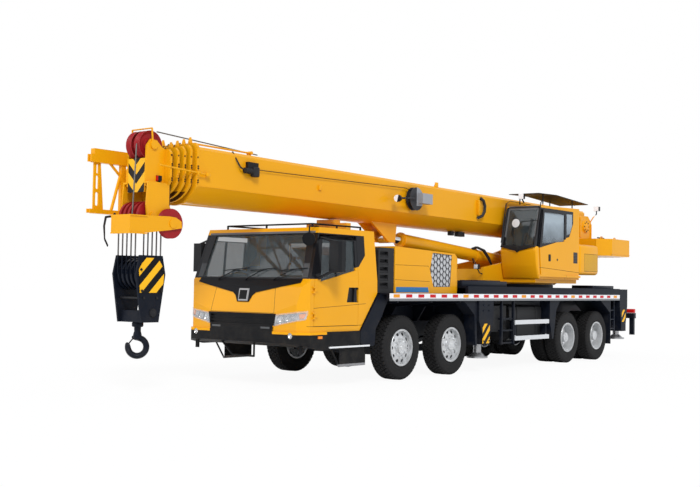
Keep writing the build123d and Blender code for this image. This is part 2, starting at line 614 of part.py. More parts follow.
# ---------------------------------------------------------------- engine hood and engine
hood_side = [(hood_rear_x, strip_top), (hood_rear_x, 1990), (-1640, 2095), (hood_front_x, hood_top),
             (hood_front_x, strip_top)]
cell_r = 62.0
grille_outline = [(-1495, 1522), (-975, 1518), (-868, 1799), (-945, 2085), (-1552, 2062)]
with BuildPart() as engine_hood:
    side_slab(hood_side, -hood_half, hood_half)
    inner = [(hood_rear_x + hood_wall, strip_top - 1), (hood_rear_x + hood_wall, 1975), (-1630, 2060),
             (hood_front_x - hood_wall, hood_top - hood_wall), (hood_front_x - hood_wall, strip_top - 1)]
    side_slab(inner, -hood_half + hood_wall, hood_half - hood_wall, mode=Mode.SUBTRACT)
    with BuildPart(mode=Mode.PRIVATE) as hood_plan:
        plan_slab([(hood_front_x + 1, -hood_half), (hood_rear_x + 70, -hood_half), (hood_rear_x + 18, -hood_half + 22),
                   (hood_rear_x, -hood_half + 80), (hood_rear_x, hood_half - 80), (hood_rear_x + 18, hood_half - 22),
                   (hood_rear_x + 70, hood_half), (hood_front_x + 1, hood_half)], strip_top - 1, hood_top + 1)
    add(hood_plan.part, mode=Mode.INTERSECT)
    # side grilles: shallow six-sided cells with ribs between
    for hand in side.values():
        face = Plane(origin=(0, hand * hood_half, 0), x_dir=(1, 0, 0), z_dir=(0, hand, 0))
        with BuildSketch(face) as cells:
            for column in range(7):
                for row in range(7):
                    high = 1510 + cell_r * sqrt(3) * (row + 0.5 * (column % 2))
                    with Locations(face.to_local_coords(Vector(-1510 + cell_r * 1.5 * column, hand * hood_half, high))):
                        RegularPolygon(cell_r - 7, 6)
            with BuildLine():
                Polyline(*[face.to_local_coords(Vector(x, hand * hood_half, z)) for x, z in grille_outline], close=True)
            make_face(mode=Mode.INTERSECT)
        extrude(cells.sketch, amount=-14, mode=Mode.SUBTRACT)
save(engine_hood, "engine_hood")

with BuildPart() as engine:
    engine_half = frame_half - rail_thick - seat_gap
    block((-1550, -200), (-engine_half, engine_half), (780, 1950))
    block((-2000, -1550), (-240, 240), (560, 1150))
save(engine, "engine")

# ---------------------------------------------------------------- mudguards
with BuildPart() as mudguards:
    for hand in side.values():
        guard_top = strip_top - 21 - seat_gap
        front_guard = [(600, guard_top), (330, guard_top), (570, 1000), (700, 840), (722, 600), (762, 575),
                       (1000, 575), (1090, 640), (1084, 812), (632, 1372)]
        side_slab(front_guard, *sorted((hand * 1000, hand * 1245)))
        second_guard = [(-1700, deck_low - seat_gap), (-1790, 1225), (-2070, 1030), (-2110, 490), (-2160, 490),
                        (-2160, deck_low - seat_gap)]
        side_slab(second_guard, *sorted((hand * 1125, hand * 1350)))
        third_guard = [(910, deck_low - seat_gap), (465, deck_low - seat_gap), (635, 1087), (750, 517),
                       (805, 517), (910, 900)]
        side_slab([(axle_x[2] + x, z) for x, z in third_guard], *sorted((hand * 1125, hand * 1350)))
        fourth_guard = [(-63, deck_low - seat_gap), (-440, 1075), (-555, 1000), (-555, 330), (-585, 330),
                        (-585, deck_low - seat_gap)]
        side_slab([(axle_x[3] + x, z) for x, z in fourth_guard], *sorted((hand * 680, hand * 1350)))
    # tail bar on its two brackets, with the posts of the rear lamps
    block((-rear_reach, -rear_reach + 120), (-1250, 1250), (860, 980))
    for hand in side.values():
        block((-rear_reach + 119, box_rear_x - seat_gap), sorted((hand * 300, hand * 400)), (900, 1150))
        block((-rear_reach + 20, -rear_reach + 100), sorted((hand * 1130, hand * 1230)), (480, 861))
save(mudguards, "mudguards")

# ---------------------------------------------------------------- boom rest
boom_dir = Vector(cos(radians(boom_angle)), 0, sin(radians(boom_angle)))
rest_x = 400.0
rest_top = foot_z + boom_rows[0][2] + (rest_x - foot_x) * sin(radians(boom_angle)) - 12
with BuildPart() as boom_rest:
    for hand in side.values():
        block((rest_x - 60, rest_x + 60), sorted((hand * 345, hand * 425)), (rail_top - 60, rest_top - 160))
    block((rest_x - 60, rest_x + 60), (-430, 430), (rest_top - 160, rest_top - 60))
    block((rest_x - 90, rest_x + 90), (-180, 180), (rest_top - 60, rest_top))
    for hand in side.values():
        side_slab(rail_side, *sorted((hand * (frame_half - rail_thick) - hand * seat_gap,
                                      hand * frame_half + hand * seat_gap)), mode=Mode.SUBTRACT)
save(boom_rest, "boom_rest")

# ---------------------------------------------------------------- turntable
plate_out = plate_in + plate_thick
with BuildPart() as turntable:
    with Locations((slew_x, 0, table_low + table_plate / 2)):
        Cylinder(slew_r, table_plate)
    plate_side = [
        (-3800, table_low), (-3800, 1910), (-5200, 2120), (-7250, 2620), (-7800, 3080), (-8060, 3195),
        (-8450, 3195), (-8610, 3060), (-8610, 2300), (-7900, 1960), (-6800, table_low),
    ]
    for hand in side.values():
        side_slab(plate_side, *sorted((hand * plate_in, hand * plate_out)))
    block((-6900, -3840), (-plate_in, plate_in), (table_low, table_low + table_plate))
    block((-3840, -3800), (-plate_in, plate_in), (table_low, 1880))
    side_slab([(-7000, table_low + 40), (-6960, table_low + 40), (-6960, 2250), (-7000, 2250)],
              -plate_in, plate_in)
    # luffing cylinder's foot: two lugs and the pin
    for hand in side.values():
        lug = [(barrel_foot_x - 260, table_low + 40), (barrel_foot_x - 90, barrel_foot_z + 90),
               (barrel_foot_x + 90, barrel_foot_z + 90), (barrel_foot_x + 260, table_low + 40)]
        side_slab(lug, *sorted((hand * 150, hand * 190)))
    rod((barrel_foot_x, -200, barrel_foot_z), (barrel_foot_x, 200, barrel_foot_z), luff_pin_r)
    rod((foot_x, -plate_out - 20, foot_z), (foot_x, plate_out + 20, foot_z), foot_pin_r)
    # operator's cab bracket and the pod behind it
    block((op_rear_x, op_front_x - 120), (plate_out - 1, op_out - 60), (table_low + 30, op_low - seat_gap))
    block((-7300, op_rear_x - 20), (plate_out - 1, 1240), (1857, 2425))
    # rounded corner of the pod, floodlight on its goose neck
    neck = [(-8560, 470, 3050), (-8560, 560, 3180), (-8640, 600, 3260), (-8640, 600, 3340)]
    for start, end in zip(neck, neck[1:]):
        rod(start, end, 12)
        with Locations(end):
            Sphere(12)
    block((-8700, -8600), (545, 665), (3330, 3430))
save(turntable, "turntable")

# ---------------------------------------------------------------- winches
with BuildPart() as winches:
    for drum_x, drum_z in ((-7380, 2130), (-7990, 2230)):
        rod((drum_x, -plate_in + seat_gap, drum_z), (drum_x, plate_in - seat_gap, drum_z), 70)
        rod((drum_x, -330, drum_z), (drum_x, 330, drum_z), 165)
        for hand in side.values():
            rod((drum_x, hand * 330, drum_z), (drum_x, hand * 355, drum_z), 205)
save(winches, "winches")

# ---------------------------------------------------------------- counterweight
with BuildPart() as counterweight:
    weight_plan = [
        (weight_front_x, -weight_half + 260), (weight_front_x - 260, -weight_half), (weight_rear_x + 300, -weight_half),
        (weight_rear_x, -weight_half + 420), (weight_rear_x, weight_half - 420), (weight_rear_x + 300, weight_half),
        (weight_front_x - 260, weight_half), (weight_front_x, weight_half - 260),
    ]
    plan_slab(weight_plan, weight_low, weight_top)
    slot_half = plate_out + seat_gap
    block((-8640, weight_front_x + 1), (-slot_half, slot_half), (weight_low - 1, weight_top + 1), mode=Mode.SUBTRACT)
save(counterweight, "counterweight")

# ---------------------------------------------------------------- operator's cab
op_side = [(op_front_x - 110, op_low), (op_front_x, 2330), (op_front_x - 240, op_roof - 40),
           (op_rear_x, op_roof), (op_rear_x, op_low)]


def op_outline(inset, y_low, y_high, mode=Mode.ADD):
    """The operator's cab's side outline, drawn in by the inset."""
    with BuildSketch(Plane.XZ.offset(-y_high)) as sketch:
        with BuildLine():
            Polyline(*op_side, close=True)
        make_face()
        if inset:
            offset(amount=-inset, kind=Kind.INTERSECTION)
    extrude(sketch.sketch, amount=y_high - y_low, mode=mode)


with BuildPart() as operator_cab:
    op_outline(0, op_in, op_out)
    op_outline(op_wall, op_in + op_wall, op_out - op_wall, mode=Mode.SUBTRACT)
    # front opening, roof opening, door opening and rear side window
    cross_slab([(op_in + 70, 1900), (op_out - 70, 1900), (op_out - 70, 3080), (op_in + 70, 3080)],
               op_front_x - 330, op_front_x + 10, mode=Mode.SUBTRACT)
    side_slab([(op_door_rear_x + 30, op_door_low + 40), (op_door_front_x - 10, op_door_low + 40),
               (op_door_front_x + 50, 2330), (op_door_front_x - 90, op_door_high - 40),
               (op_door_rear_x + 30, op_door_high - 40)], op_out - op_wall - 1, op_out + 1, mode=Mode.SUBTRACT)
    side_slab([(-6280, 2650), (-5790, 2550), (-5790, 3080), (-6280, 3100)],
              op_out - op_wall - 1, op_out + 1, mode=Mode.SUBTRACT)
    # sill that the sliding door runs on
    block((op_rear_x, op_front_x - 90), (op_out - 1, op_out + slide_gap + op_door_thick),
          (op_door_low - 40, op_door_low - seat_gap))
    # seat and console
    block((-5900, -5350), (640, 1120), (op_low + op_wall - 1, 2200))
    block((-6050, -5880), (660, 1100), (2150, 2850))
    # mesh visor on its posts, and the work lamp at the front corner of the roof
    side_slab([(-4640, 3396), (-4640, 3408), (-5400, 3425), (-6870, 3334), (-6870, 3322), (-5400, 3413)], 560, 1230)
    for post_x, top_z in ((-4950, 3412), (-6250, 3365)):
        for y in (640, 1160):
            rod((post_x, y, op_roof - 20), (post_x, y, top_z), 13, sides=8)
    rod((-4740, 900, op_roof - 60), (-4560, 900, 3300), 13, sides=8)
    block((-4590, -4520), (845, 955), (3290, 3395))
save(operator_cab, "operator_cab")

with BuildPart() as operator_glass:
    front_pane = [(op_in + 70 + seat_gap, 1900 + seat_gap), (op_out - 70 - seat_gap, 1900 + seat_gap),
                  (op_out - 70 - seat_gap, 3080 - seat_gap), (op_in + 70 + seat_gap, 3080 - seat_gap)]
    cross_slab(front_pane, op_front_x - 330, op_front_x + 10)
    op_outline(8, op_in, op_out, mode=Mode.INTERSECT)
    op_outline(16, op_in - 1, op_out + 1, mode=Mode.SUBTRACT)
    side_slab([(-6280 + seat_gap, 2650 + seat_gap), (-5790 - seat_gap, 2550 + seat_gap),
               (-5790 - seat_gap, 3080 - seat_gap), (-6280 + seat_gap, 3100 - seat_gap)],
              op_out - 24, op_out - 16)
save(operator_glass, "operator_glass")

with BuildPart() as operator_door:
    door_side = [(op_door_rear_x, op_door_low), (op_door_front_x, op_door_low), (op_door_front_x + 60, 2330),
                 (op_door_front_x - 80, op_door_high), (op_door_rear_x, op_door_high)]
    side_slab(door_side, op_out + slide_gap, op_out + slide_gap + op_door_thick)
    side_slab([(op_door_rear_x + 60, 2480), (op_door_front_x - 40, 2400), (op_door_front_x - 130, op_door_high - 60),
               (op_door_rear_x + 60, op_door_high - 60)], op_out, op_out + 60, mode=Mode.SUBTRACT)
save(operator_door, "operator_door")

# ---------------------------------------------------------------- boom
boom_side = Plane(origin=(foot_x, 0, foot_z), x_dir=tuple(boom_dir), z_dir=(0, -1, 0))
boom_axis = Plane(origin=(foot_x, 0, foot_z), x_dir=(0, 1, 0), z_dir=tuple(boom_dir))


def boom_point(u, y, v):
    """A point u along the boom, y to the left and v above its axis."""
    return (foot_x + u * boom_dir.X - v * boom_dir.Z, y, foot_z + u * boom_dir.Z + v * boom_dir.X)


def section_sketch(half, top, low, u):
    """A boom section's outline across its axis: flat top and sides, round belly."""
    with BuildSketch(boom_axis.offset(u)) as sketch:
        with BuildLine():
            belly_v = low + 0.57 * half
            Polyline((-half, belly_v), (-half, top - 45), (-half + 45, top), (half - 45, top),
                     (half, top - 45), (half, belly_v))
            ThreePointArc((half, belly_v), (0, low), (-half, belly_v))
        make_face()
    return sketch.sketch


def boom_section(number):
    """One hollow section with its front collar and the wear pads that carry the next section."""
    half, top, low, start_u, front_u, collar, rise = boom_rows[number]
    extrude(section_sketch(half, top, low, start_u), amount=front_u - start_u)
    extrude(section_sketch(half + rise, top + rise, low - rise, front_u - collar), amount=collar)
    if number < len(boom_rows) - 1:
        for hand in side.values():
            # pointed guide lug on top of the collar, strap below it and the pad adjuster at mid height
            lug_y, lug_v = hand * (half - 96), top + rise - 2
            boom_slab([(front_u - collar, lug_v), (front_u, lug_v), (front_u, lug_v + 22), (front_u - 20, lug_v + 88),
                       (front_u - collar, lug_v + 22)], *sorted((lug_y, lug_y - hand * 44)))
            boom_slab([(front_u - collar, -70), (front_u - 6, -70), (front_u - 6, top - 30),
                       (front_u - collar, top - 30)], *sorted((hand * (half + rise - 1), hand * (half + rise + 8))))
            boom_slab([(front_u - collar + 4, -42), (front_u - 10, -42), (front_u - 10, 8), (front_u - collar + 4, 8)],
                      *sorted((hand * (half + rise), hand * (half + rise + 24))))
    if number < len(boom_rows) - 1:
        inner = (half - boom_wall, top - boom_wall, low + boom_wall)
        bore_u = start_u + (260 if number == 0 else -1)
        extrude(section_sketch(*inner, bore_u), amount=front_u - pad_length - bore_u, mode=Mode.SUBTRACT)
        next_half, next_top, next_low = boom_rows[number + 1][:3]
        passage = (next_half + seat_gap, next_top + seat_gap, next_low - seat_gap)
        extrude(section_sketch(*passage, front_u - pad_length - 1), amount=pad_length + 2, mode=Mode.SUBTRACT)


def boom_slab(outline, y_low, y_high, mode=Mode.ADD):
    """A slab on the boom from a side outline of (u, v) points."""
    with BuildSketch(boom_side.offset(-y_high)) as sketch:
        with BuildLine():
            Polyline(*outline, close=True)
        make_face()
    extrude(sketch.sketch, amount=y_high - y_low, mode=mode)


eye_du = (rod_eye_x - foot_x) * boom_dir.X + (rod_eye_z - foot_z) * boom_dir.Z
eye_dv = -(rod_eye_x - foot_x) * boom_dir.Z + (rod_eye_z - foot_z) * boom_dir.X
with BuildPart() as boom_base:
    boom_section(0)
    # foot boss that turns on the pin between the turntable's side plates
    with BuildSketch(boom_side.offset(-plate_in + 8)) as foot:
        with BuildLine():
            Polyline((-60, boom_rows[0][1] - 130), (-230, 120), (-230, -120), (-60, boom_rows[0][2] + 150),
                     (400, boom_rows[0][2] + 150), (400, boom_rows[0][1] - 130), close=True)
        make_face()
    extrude(foot.sketch, amount=2 * (plate_in - 8))
    rod((foot_x, -plate_in, foot_z), (foot_x, plate_in, foot_z), foot_pin_r + seat_gap, mode=Mode.SUBTRACT)
    # lugs for the luffing cylinder's rod
    lug_low = boom_rows[0][2] + 260
    for hand in side.values():
        lug = [(eye_du - 90, eye_dv - 100), (eye_du + 90, eye_dv - 100), (eye_du + 1000, lug_low),
               (eye_du - 160, lug_low)]
        boom_slab(lug, *sorted((hand * 118, hand * 160)))
    half, top, low = boom_rows[0][:3]
    inner = (half - boom_wall, top - boom_wall, low + boom_wall)
    # seam between the flat sides and the round belly
    seam_v = low + 0.57 * half
    for hand in side.values():
        boom_slab([(400, seam_v - 5), (boom_rows[0][4] - 60, seam_v - 5), (boom_rows[0][4] - 60, seam_v + 5),
                   (400, seam_v + 5)], *sorted((hand * (half - 2), hand * (half + 4))))
    # cable reel with its drive box, and the work lamp ahead of it
    reel_u, reel_v = -1430 - foot_x, 62
    for radius, low_y, high_y in ((70, half - 1, 432), (205, 432, 442), (150, 441, 512), (205, 511, 521)):
        rod(boom_point(reel_u, low_y, reel_v), boom_point(reel_u, high_y, reel_v), radius)
    boom_slab([(reel_u - 330, reel_v - 80), (reel_u - 20, reel_v - 80), (reel_u - 20, reel_v + 100),
               (reel_u - 330, reel_v + 100)], 520, 640)
    lamp_u = reel_u + 640
    rod(boom_point(reel_u + 130, half - 1, reel_v), boom_point(reel_u + 130, 560, reel_v), 16)
    rod(boom_point(reel_u + 114, 545, reel_v), boom_point(lamp_u, 545, reel_v - 40), 16)
    rod(boom_point(lamp_u - 50, 545, reel_v - 40), boom_point(lamp_u + 40, 585, reel_v - 50), 62)
    # roller arm, brackets and lifting eye on top
    for arm_u in (11975, 10880):
        boom_slab([(arm_u - 20, top - 2), (arm_u + 20, top - 2), (arm_u + 20, top + 66), (arm_u - 20, top + 66)],
                  235, 255)
    rod(boom_point(10860, 245, top + 54), boom_point(12000, 245, top + 54), 13)
    rod(boom_point(10880, 200, top + 54), boom_point(10880, 290, top + 54), 26)
    boom_slab([(5950, top - 2), (6010, top - 2), (5960, top + 86), (5930, top + 86)], 300, 330)
    # connector box on the front left side
    boom_slab([(10905, 150), (11130, 150), (11130, 250), (10905, 250)], half - 1, half + 60)
    extrude(section_sketch(*inner, eye_du - 400), amount=1800, mode=Mode.SUBTRACT)
    extrude(section_sketch(*inner, 4400), amount=1000, mode=Mode.SUBTRACT)
save(boom_base, "boom_base")

for number in (1, 2, 3):
    with BuildPart() as boom_part:
        boom_section(number)
    save(boom_part, f"boom_section_{number + 1}")

with BuildPart() as boom_head:
    boom_section(4)
    half, top, low, start_u, head_start = boom_rows[4][:5]
    extrude(section_sketch(half - boom_wall, top - boom_wall, low + boom_wall, start_u - 1),
            amount=head_start - start_u - 500, mode=Mode.SUBTRACT)
    plate_front = boom_reach - 393
    for hand in side.values():
        # upper plates carry the top sheaves, the wider lower ones the nest of sheaves for the hook block
        upper = [(head_start - 60, 250), (head_start + 60, 310), (plate_front - 180, 388), (plate_front - 70, 396),
                 (plate_front, 300), (plate_front, -250), (head_start - 60, -250)]
        boom_slab(upper, *sorted((hand * head_plate_in, hand * (head_plate_in + head_plate_thick))))
        lower = [(head_start - 60, -190), (plate_front + 10, -190), (plate_front + 30, -500), (plate_front, -760),
                 (head_start - 90, -760), (head_start - 120, -640), (head_start - 60, -500)]
        boom_slab(lower, *sorted((hand * low_plate_in, hand * (low_plate_in + head_plate_thick))))
        boom_slab([(head_start - 60, -215), (plate_front + 10, -215), (plate_front + 10, -190), (head_start - 60, -190)],
                  *sorted((hand * (head_plate_in + 1), hand * (low_plate_in + 1))))
        rod((top_sheave_x, hand * (head_plate_in + head_plate_thick - 1), top_sheave_z),
            (top_sheave_x, hand * (head_plate_in + head_plate_thick + 26), top_sheave_z), 58)
        rod((low_sheave_x, hand * (low_plate_in + head_plate_thick - 1), low_sheave_z),
            (low_sheave_x, hand * (low_plate_in + head_plate_thick + 20), low_sheave_z), 58)
    boom_slab([(head_start - 60, -415), (head_start + 5, -415), (head_start + 5, 250), (head_start - 60, 250)],
              -low_plate_in, low_plate_in)
    # striped face between the two sheave groups
    boom_slab([(plate_front - 24, -330), (plate_front, -330), (plate_front, 130), (plate_front - 24, 130)],
              -head_plate_in - 1, head_plate_in + 1)
    rod((top_sheave_x, -head_plate_in - 1, top_sheave_z), (top_sheave_x, head_plate_in + 1, top_sheave_z), 40)
    rod((low_sheave_x, -low_plate_in - 1, low_sheave_z), (low_sheave_x, low_plate_in + 1, low_sheave_z), 40)
    # rope guard over the top sheaves and the tail lamp on the left plate
    guard_y, guard_z = head_plate_in + head_plate_thick + 10, top_sheave_z + sheave_r + 24
    for hand in side.values():
        rod((top_sheave_x + 20, hand * guard_y, top_sheave_z), (top_sheave_x + 40, hand * guard_y, guard_z), 13)
    rod((top_sheave_x + 40, -guard_y, guard_z), (top_sheave_x + 40, guard_y, guard_z), 10)
    block((top_sheave_x - 130, top_sheave_x - 60), (head_plate_in + head_plate_thick - 1, guard_y + 30), (2895, 2965))
    # box frame ahead of the nest, its arm and the boss of the side sheave
    arm_in, arm_out = low_plate_in + head_plate_thick + 76, low_plate_in + head_plate_thick + 98
    arm = [(front_reach, 2385), (front_reach - 290, 2400), (side_sheave_x + 60, 2410), (side_sheave_x - 60, 2400),
           (side_sheave_x - 160, 2350), (side_sheave_x - 170, 2260), (side_sheave_x + 60, 2222), (front_reach - 300, 2170),
           (front_reach, 2150)]
    side_slab(arm, arm_in, arm_out)
    box_in = -20
    block((front_reach - 22, front_reach), (box_in, arm_out), (2165, 2385))
    block((front_reach - 236, front_reach), (box_in, box_in + 22), (2165, 2385))
    block((front_reach - 236, front_reach - 214), (box_in, arm_out), (2165, 2385))
    for lip_z in (2150, 2385):
        block((front_reach - 70, front_reach), (box_in - 14, arm_out + 14), (lip_z, lip_z + 15))
        block((front_reach - 290, front_reach), (arm_in, arm_out + 14), (lip_z, lip_z + 15))
    rod((side_sheave_x, low_plate_in, side_sheave_z), (side_sheave_x, arm_out + 12, side_sheave_z), 34)
    rod((side_sheave_x, arm_out - 1, side_sheave_z), (side_sheave_x, arm_out + 14, side_sheave_z), 62)
    rod((low_sheave_x, low_plate_in, low_sheave_z - 60), (low_sheave_x, arm_in + 1, low_sheave_z - 60), 30)
    block((side_sheave_x - 60, side_sheave_x + 60), (low_plate_in, low_plate_in + head_plate_thick), (2240, 2420))
save(boom_head, "boom_head")

with BuildPart() as head_sheaves:
    # grooved top sheaves on their axle
    for y in (-85, 85):
        groove = [(40 + seat_gap, y - 56), (90, y - 56), (105, y - 26), (sheave_r - 45, y - 26), (sheave_r, y - 56),
                  (sheave_r, y - 40), (sheave_r - 26, y - 8), (sheave_r - 26, y + 8), (sheave_r, y + 40),
                  (sheave_r, y + 56), (sheave_r - 45, y + 26), (105, y + 26), (90, y + 56), (40 + seat_gap, y + 56)]
        turned(groove, top_sheave_x, top_sheave_z)
    side_y = low_plate_in + head_plate_thick + 38
    turned([(34 + seat_gap, side_y - 34), (side_sheave_r, side_y - 34), (side_sheave_r - 26, side_y),
            (side_sheave_r, side_y + 34), (34 + seat_gap, side_y + 34)], side_sheave_x, side_sheave_z)
    for row in range(-2, 3):
        y = row * 2 * sheave_wide
        rod((low_sheave_x, y - 20, low_sheave_z), (low_sheave_x, y + 20, low_sheave_z), low_sheave_r)
    rod((low_sheave_x, -low_plate_in, low_sheave_z), (low_sheave_x, low_plate_in, low_sheave_z), 40 + seat_gap,
        mode=Mode.SUBTRACT)
save(head_sheaves, "head_sheaves")

# ---------------------------------------------------------------- stowed lattice jib
jib_in, jib_out = 520.0, 1080.0
with BuildPart() as jib:
    jib_rows = ((front_reach - 1120.0, 2760.0, 3150.0), (-4300.0, 2760.0, 3060.0))  # x, low z, top z of its ends
    for y in (-jib_in, -jib_out):
        for level in (1, 2):
            rod((jib_rows[0][0], y, jib_rows[0][level]), (jib_rows[1][0], y, jib_rows[1][level]), 36, sides=6)
    bays = 10
    for bay in range(bays + 1):
        share = bay / bays
        x, low, top = (a + (b - a) * share for a, b in zip(*jib_rows))
        for y in (-jib_in, -jib_out):
            rod((x, y, low), (x, y, top), 20, sides=6)
        rod((x, -jib_in, low), (x, -jib_out, low), 20, sides=6)
        rod((x, -jib_in, top), (x, -jib_out, top), 20, sides=6)
        if bay < bays:
            next_x, next_low, next_top = (a + (b - a) * (bay + 1) / bays for a, b in zip(*jib_rows))
            for y in (-jib_in, -jib_out):
                rod((x, y, low), (next_x, y, next_top), 18, sides=6)
    # root frame beside the boom head: two beams with forks, a pierced plate, a post and braces
    root_x = front_reach - 60
    for low, top, back in ((3140, 3330, jib_rows[0][0] - 20), (2440, 2500, root_x - 440)):
        block((back, root_x), (-jib_in - 42, -jib_in + 42), (low, top))
        for fork_y in (-jib_in - 42, -jib_in + 22):
            block((root_x - 1, root_x + 55), (fork_y, fork_y + 20), (low + 5, min(top, low + 110)))
    with BuildSketch(Plane.XZ.offset(jib_in - 12)) as pierced:
        with BuildLine():
            Polyline((root_x - 190, 2480), (root_x - 20, 2480), (root_x - 20, 3160), (root_x - 130, 3160), close=True)
        make_face()
        for hole_z, hole_high, hole_wide in ((2640, 190, 56), (2870, 190, 46), (3055, 130, 36)):
            with Locations((root_x - 78, hole_z)):
                SlotOverall(hole_high, hole_wide, rotation=90, mode=Mode.SUBTRACT)
    extrude(pierced.sketch, amount=24)
    block((root_x - 560, root_x - 480), (-jib_in - 30, -jib_in + 30), (2440, 3160))
    rod((root_x - 300, -jib_in, 3150), (root_x - 480, -jib_in, 2990), 22, sides=6)
    rod((root_x - 500, -jib_in, 3060), (root_x - 330, -jib_in, 2480), 24, sides=6)
    rod((jib_rows[0][0], -jib_in, jib_rows[0][1]), (root_x - 520, -jib_in, 2480), 30, sides=6)
    block((root_x - 561, root_x - 430), (-jib_in - 30, -jib_in + 30), (2440, 2500))
    # carriers that hold it to the boom's side
    for x in (-2670, 1385):
        block((x - 60, x + 60), (-jib_in - 20, -jib_in + 20), (2730, 3100))
        block((x - 60, x + 60), (-jib_in - 20, -boom_rows[0][0] - seat_gap), (2900, 2990))
save(jib, "jib")

# ---------------------------------------------------------------- luffing cylinder
luff_run = Vector(rod_eye_x - barrel_foot_x, 0, rod_eye_z - barrel_foot_z)
luff_length = luff_run.length
luff_axis = Plane(origin=(barrel_foot_x, 0, barrel_foot_z), x_dir=(0, 1, 0), z_dir=tuple(luff_run))
barrel_r, barrel_bore, piston_r = 125.0, 100.0, 80.0
barrel_front = 4080.0
with BuildPart() as luff_barrel:
    with BuildSketch(luff_axis.offset(130)) as tube:
        Circle(barrel_r)
    extrude(tube.sketch, amount=barrel_front - 130)
    rod((barrel_foot_x, -140, barrel_foot_z), (barrel_foot_x, 140, barrel_foot_z), 135)
    rod((barrel_foot_x, -141, barrel_foot_z), (barrel_foot_x, 141, barrel_foot_z), luff_pin_r + seat_gap,
        mode=Mode.SUBTRACT)
    with BuildSketch(luff_axis.offset(300)) as bore:
        Circle(barrel_bore)
    extrude(bore.sketch, amount=barrel_front - 120 - 300, mode=Mode.SUBTRACT)
    with BuildSketch(luff_axis.offset(barrel_front - 121)) as gland:
        Circle(piston_r + seat_gap)
    extrude(gland.sketch, amount=130, mode=Mode.SUBTRACT)
save(luff_barrel, "luff_barrel")

with BuildPart() as luff_rod:
    with BuildSketch(luff_axis.offset(310)) as piston:
        Circle(barrel_bore - seat_gap)
    extrude(piston.sketch, amount=120)
    with BuildSketch(luff_axis.offset(420)) as shaft:
        Circle(piston_r)
    extrude(shaft.sketch, amount=luff_length - 420 - 60)
    rod((rod_eye_x, -110, rod_eye_z), (rod_eye_x, 110, rod_eye_z), 112)
save(luff_rod, "luff_rod")

# ---------------------------------------------------------------- hook block and hook
with BuildPart() as hook_block:
    cheek = [(block_x - 200, block_top), (block_x + 200, block_top), (block_x + 255, 1620), (block_x + 150, block_low),
             (block_x - 150, block_low), (block_x - 255, 1620)]
    for hand in side.values():
        side_slab(cheek, *sorted((hand * (block_half - 30), hand * block_half)))
    rod((block_x, -block_half + 1, 1620), (block_x, block_half - 1, 1620), 45)
    for row in range(-2, 3):
        y = row * 2 * sheave_wide
        rod((block_x, y - 20, 1620), (block_x, y + 20, 1620), 215)
        for shift in (-1, 1):
            x = block_x + shift * (low_sheave_r + rope_r + seat_gap)
            rod((x, y, 1620), (x, y, low_sheave_z), rope_r, sides=6)
    block((block_x - 110, block_x + 110), (-block_half + 1, block_half - 1), (block_low, block_low + 160))
save(hook_block, "hook_block")

hook_turn = 50.0  # the hook hangs turned, its flat side towards the front left
hook_r, throat_r, hook_thick = 165.0, 84.0, 90.0
hook_side = Plane(origin=(block_x, 0, hook_low + hook_r), x_dir=(-sin(radians(hook_turn)), cos(radians(hook_turn)), 0),
                  z_dir=(cos(radians(hook_turn)), sin(radians(hook_turn)), 0))
with BuildPart() as hook:
    rod((block_x, 0, hook_low + 2 * hook_r - 40), (block_x, 0, block_low - seat_gap), 48)
    with BuildSketch(hook_side) as bow:
        Circle(hook_r)
        with Locations((-14, 12)):
            Circle(throat_r, mode=Mode.SUBTRACT)
        with BuildLine():
            Polyline((-14, 12), (-260, 60), (-120, 260), (-52, 200), (-52, 60), close=True)
        make_face(mode=Mode.SUBTRACT)
    extrude(bow.sketch, amount=hook_thick / 2, both=True)
save(hook, "hook")
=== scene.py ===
import json
import math
import bpy
import bmesh
from mathutils import Matrix, Vector


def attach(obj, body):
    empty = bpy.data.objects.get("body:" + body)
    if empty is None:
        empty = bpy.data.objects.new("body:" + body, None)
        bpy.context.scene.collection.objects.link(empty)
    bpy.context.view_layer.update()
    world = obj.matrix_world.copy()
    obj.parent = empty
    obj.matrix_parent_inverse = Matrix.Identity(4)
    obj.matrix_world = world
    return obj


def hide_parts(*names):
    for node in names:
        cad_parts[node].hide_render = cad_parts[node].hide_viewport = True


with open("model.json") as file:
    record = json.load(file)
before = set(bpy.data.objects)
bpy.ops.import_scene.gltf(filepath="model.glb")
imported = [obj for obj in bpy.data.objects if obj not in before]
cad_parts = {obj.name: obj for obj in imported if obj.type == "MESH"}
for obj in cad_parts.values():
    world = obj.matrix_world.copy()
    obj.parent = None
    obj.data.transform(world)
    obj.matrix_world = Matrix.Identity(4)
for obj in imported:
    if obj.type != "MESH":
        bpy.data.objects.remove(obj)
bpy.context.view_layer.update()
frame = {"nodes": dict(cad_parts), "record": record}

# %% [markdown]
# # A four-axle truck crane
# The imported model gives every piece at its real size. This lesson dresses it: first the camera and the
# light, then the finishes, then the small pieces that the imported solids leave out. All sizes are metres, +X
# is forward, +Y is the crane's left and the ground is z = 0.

# %% [markdown]
# ## The camera
# The picture is taken from the front left at standing height with a moderately long lens, so the far wheels
# stay almost as large as the near ones. The camera is placed by its own matrix, because three angles are
# easier to keep together there than in a chain of constraints.

# %% Camera
FRONT_AXLE_X = 2.24  # the front axle's place ahead of the origin
YAW, PITCH, ROLL = math.radians(38.256), math.radians(2.324), math.radians(-0.931)
EYE = Vector((13.806 + FRONT_AXLE_X, 11.038, 1.508))
LENS_MM = 53.55


def camera_axes():
    """Right, up and forward directions of the camera."""
    forward = Vector((-math.cos(YAW) * math.cos(PITCH), -math.sin(YAW) * math.cos(PITCH), math.sin(PITCH)))
    level = forward.cross(Vector((0, 0, 1))).normalized()
    above = level.cross(forward)
    right = math.cos(ROLL) * level - math.sin(ROLL) * above
    up = math.sin(ROLL) * level + math.cos(ROLL) * above
    return right, up, forward


